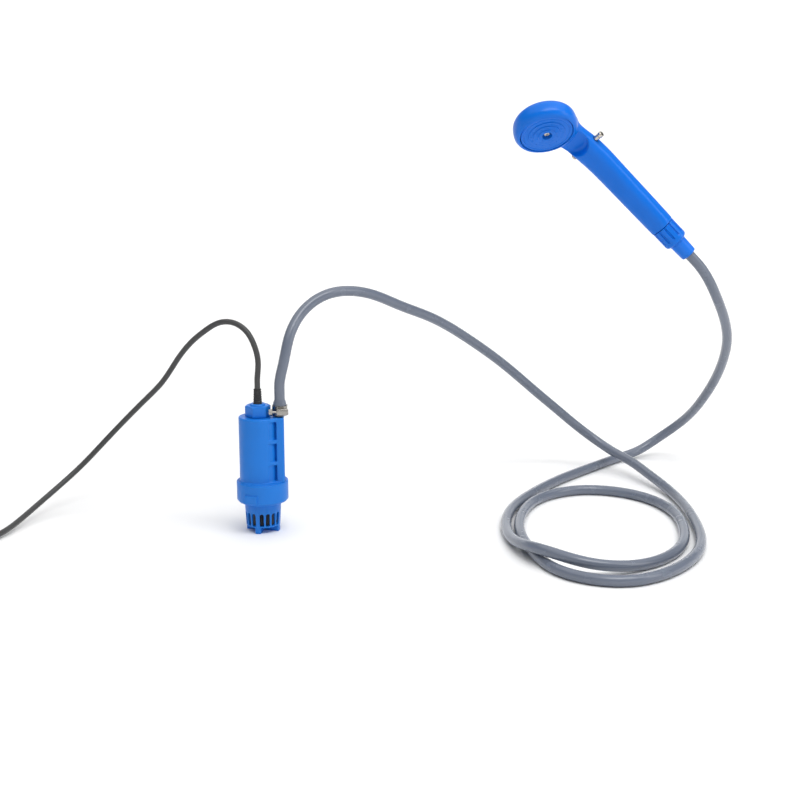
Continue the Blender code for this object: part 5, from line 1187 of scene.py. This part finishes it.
def lighter_plug():
    """Moulded halves with finger ribs and windows for the contacts, a ribbed strain relief, a bright nose
    ring and a tip.
    """
    place = axes(plug_place(), (0, 1, 0), (1, 0, 0))
    end = RELIEF_LENGTH - GAP
    rings = ridges(0.0012, RELIEF_LENGTH - 0.0050, 6, RELIEF_RADIUS, RELIEF_ROOT_RADIUS,
                   0.0008, 0.0003, (0.05, 0.55, 0.62, 0.95))
    made = [piece("plug_strain_relief", lathe((
        (0, 0), (RELIEF_RADIUS, 0, 0.0003), *rings, (RELIEF_ROOT_RADIUS, end - 0.0036, 0.0006),
        (RELIEF_ROOT_RADIUS, end, 0.0004), (0, end),
    ), 64, 3), place, "black_rubber")]

    grip_low = RELIEF_LENGTH
    grip_high = grip_low + PLUG_GRIP_LENGTH
    nose_high = grip_high + PLUG_NOSE_LENGTH
    bore_low = grip_low + PLUG_BORE_AT
    grip = PLUG_GRIP_RADIUS
    shell = [(0, grip_low), (0.62 * grip, grip_low, 0.0008), (0.90 * grip, grip_low + 0.0040, 0.0020),
             (grip, grip_low + 0.0100, 0.0020)]
    ribs, rib_depth = 5, 0.0007
    for i in range(ribs):
        z = grip_low + 0.0120 + 0.0026 * i
        shell += [(grip, z, 0.0002), (grip - rib_depth, z + 0.0005, 0.0002),
                  (grip - rib_depth, z + 0.0011, 0.0002), (grip, z + 0.0016, 0.0002)]
    shell += [(grip, grip_high, 0.0006), (PLUG_NOSE_RADIUS, grip_high, 0.0002),
              (PLUG_NOSE_RADIUS, nose_high, 0.0003), (PLUG_BORE_RADIUS, nose_high),
              (PLUG_BORE_RADIUS, bore_low), (0, bore_low)]
    contact_middle = grip_high + 0.55 * PLUG_NOSE_LENGTH
    window = CONTACT_LENGTH / 2 + 0.0012
    screw_at = place @ Matrix.Translation((0, 0, grip_low + PLUG_SCREW_AT))
    across = screw_at @ Matrix.Rotation(math.pi / 2, 4, "Y")
    shank, head_radius = PLUG_SCREW_RADIUS, 2 * PLUG_SCREW_RADIUS
    for name, side in (("plug_half_left", -1), ("plug_half_right", 1)):
        half = solid(name + "_form", lathe(shell, 72, 3), place, 30.0)
        reach = 2 * grip
        combine(half, block((-side * (reach - GAP) / 2, 0, nose_high / 2),
                            (reach, 2 * reach, 2 * nose_high)), place)
        combine(half, block((side * PLUG_NOSE_RADIUS, 0, contact_middle),
                            (PLUG_NOSE_RADIUS, CONTACT_WIDTH + 2 * GAP, 2 * window)), place)
        combine(half, lathe((
            (0, -grip + 0.0019), (shank + GAP, -grip + 0.0019), (shank + GAP, grip - 0.0031),
            (head_radius + GAP, grip - 0.0031), (head_radius + GAP, grip + 0.004), (0, grip + 0.004),
        ), 48), across)
        made.append(dress(half, "black_plastic", "shower", [name]))
    head = grip - 0.0010
    screw = solid("plug_screw_form", lathe((
        (0, -grip + 0.0022), (shank, -grip + 0.0022, 0.0004), (shank, head - 0.0018),
        (head_radius, head - 0.0016), (head_radius, head - 0.0006, 0.0004), (0.8 * shank, head, 0.0006),
        (0, head),
    ), 48), across)
    cut_cross(screw, head, 0.0006, 0.0036, 0.0011, across)
    made.append(dress(screw, "steel", "shower", ["plug_screw"]))

    ring_low = nose_high + GAP
    ring_high = ring_low + NOSE_RING_LENGTH
    knurls = []
    for i in range(4):
        z = ring_low + 0.0008 + 0.0005 * i
        knurls += [(PLUG_NOSE_RADIUS, z), (PLUG_NOSE_RADIUS - 0.0002, z + 0.00025)]
    bore, shelf = TIP_RADIUS + GAP, ring_high - 0.0016
    made.append(piece("plug_nose_ring", lathe((
        (bore, shelf), (TIP_FLANGE + GAP, shelf), (TIP_FLANGE + GAP, ring_low), (PLUG_NOSE_RADIUS, ring_low),
        *knurls, (PLUG_NOSE_RADIUS, ring_high - 0.0028, 0.0006), (0.78 * PLUG_NOSE_RADIUS, ring_high, 0.0008),
        (bore, ring_high, 0.0003), (bore, ring_high - 0.0010),
    ), 72, 4), place, "nickel"))
    flange_high = shelf - GAP
    tip_end = ring_high + TIP_REACH
    made.append(piece("plug_tip", lathe((
        (0, flange_high - 0.0012), (TIP_FLANGE, flange_high - 0.0012), (TIP_FLANGE, flange_high),
        (TIP_RADIUS, flange_high), (TIP_RADIUS, tip_end - 0.0026, 0.0012),
        (0.62 * TIP_RADIUS, tip_end - 0.0004, 0.0010), (0, tip_end),
    ), 64, 6), place, "nickel", "contact_tip"))
    return made


def carried_over():
    """Every CAD node that stays in view, or inside, gets the finish of its slot."""
    for part in frame["record"]["subparts"]:
        node = frame["nodes"][part["node"]]
        node.data.materials.clear()
        node.data.materials.append(FINISHES[part["material_slot"]])
        node.data.shade_smooth()


def studio():
    """A pale sweep, a soft key from above, a fill from the right and a light on the wall behind."""
    made = bpy.data.materials.new("paper")
    made.use_nodes = True
    tree = made.node_tree
    shader = fill(tree.nodes["Principled BSDF"], Roughness=0.9, Specular_IOR_Level=0.1)
    cloud = fill(tree.nodes.new("ShaderNodeTexNoise"), Scale=3.0)
    tint = blend(tree, (0.93, 0.93, 0.93), (0.95, 0.95, 0.95))
    tree.links.new(cloud.outputs["Fac"], tint.inputs[0])
    tree.links.new(tint.outputs[2], shader.inputs["Base Color"])

    bm = bmesh.new()
    half, near, far, radius, height = 9.0, -9.0, 4.0, 2.0, 3.0
    section = [(near, 0.0)]
    steps = 24
    section += [(far + radius * math.sin(t), radius - radius * math.cos(t))
                for t in (math.pi / 2 * i / steps for i in range(steps + 1))]
    section.append((far + radius, height))
    rows = [[bm.verts.new((x, y, GROUND_Z - 0.0002 + z)) for x in (-half, half)] for y, z in section]
    for low, high in zip(rows, rows[1:]):
        bm.faces.new((low[0], low[1], high[1], high[0]))
    sweep = solid("sweep", bm)
    sweep.data.materials.append(made)

    def soft_box(name, at, towards, size, power):
        light = bpy.data.lights.new(name, "AREA")
        light.shape = "RECTANGLE"
        light.size, light.size_y = size
        light.energy = power
        box = bpy.data.objects.new(name, light)
        bpy.context.collection.objects.link(box)
        box.location = at
        box.rotation_euler = (Vector(towards) - Vector(at)).to_track_quat("-Z", "Y").to_euler()

    middle = (-0.05, 0.0, -0.10)
    soft_box("key", (0.25, -0.75, 1.35), middle, (1.3, 0.7), 13.5)
    soft_box("side", (1.35, -0.55, 0.60), middle, (0.6, 1.1), 5.6)
    soft_box("backdrop", (0.0, 2.0, 3.0), (0.0, 6.0, 0.3), (8.0, 2.0), 130.0)
    scene = bpy.context.scene
    scene.view_settings.view_transform = "Standard"
    world = scene.world or bpy.data.worlds.new("world")
    scene.world = world
    world.use_nodes = True
    tree = world.node_tree
    back = tree.nodes["Background"]
    facing = tree.nodes.new("ShaderNodeTexCoord")
    upward = tree.nodes.new("ShaderNodeSeparateXYZ")
    glow = tree.nodes.new("ShaderNodeValToRGB")
    stops = ((0.0, 0.63), (0.16, 0.63), (0.30, 0.12), (0.58, 0.12), (0.74, 1.0))
    while len(glow.color_ramp.elements) < len(stops):
        glow.color_ramp.elements.new(0.5)
    for element, (place, level) in zip(glow.color_ramp.elements, stops):
        element.position = place
        element.color = (level, level, level, 1.0)
    tree.links.new(facing.outputs["Generated"], upward.inputs[0])
    tree.links.new(upward.outputs["Z"], glow.inputs["Fac"])
    tree.links.new(glow.outputs["Color"], back.inputs["Color"])
    back.inputs["Strength"].default_value = 1.22


def camera():
    data = bpy.data.cameras.new("camera")
    data.sensor_width = SENSOR_MM
    data.lens = FOCAL_PIXELS / IMAGE_PIXELS * SENSOR_MM
    data.clip_start = 0.05
    data.clip_end = 50.0
    made = bpy.data.objects.new("camera", data)
    bpy.context.collection.objects.link(made)
    made.location = CAMERA_AT
    made.rotation_euler = (math.pi / 2 - CAMERA_TILT, 0.0, 0.0)
    bpy.context.scene.camera = made


camera()
studio()
carried_over()
handset_shell()
handset_thread()
spray_plate()
plate_gasket()
push_valve()
hose_end, hose_direction = union_joint()
pump_housing()
lower_casing()
strainer()
cable_start = gland()
hose_start = hose_outlet()
hose(hose_start, hose_end, hose_direction)
on_cable = [coil_tie(), *lighter_plug()]
carried = ("plug_fuse", "tip_spring", "side_contact_left", "side_contact_right")
on_cable += [frame["nodes"][name] for name in carried]
cable(cable_start)
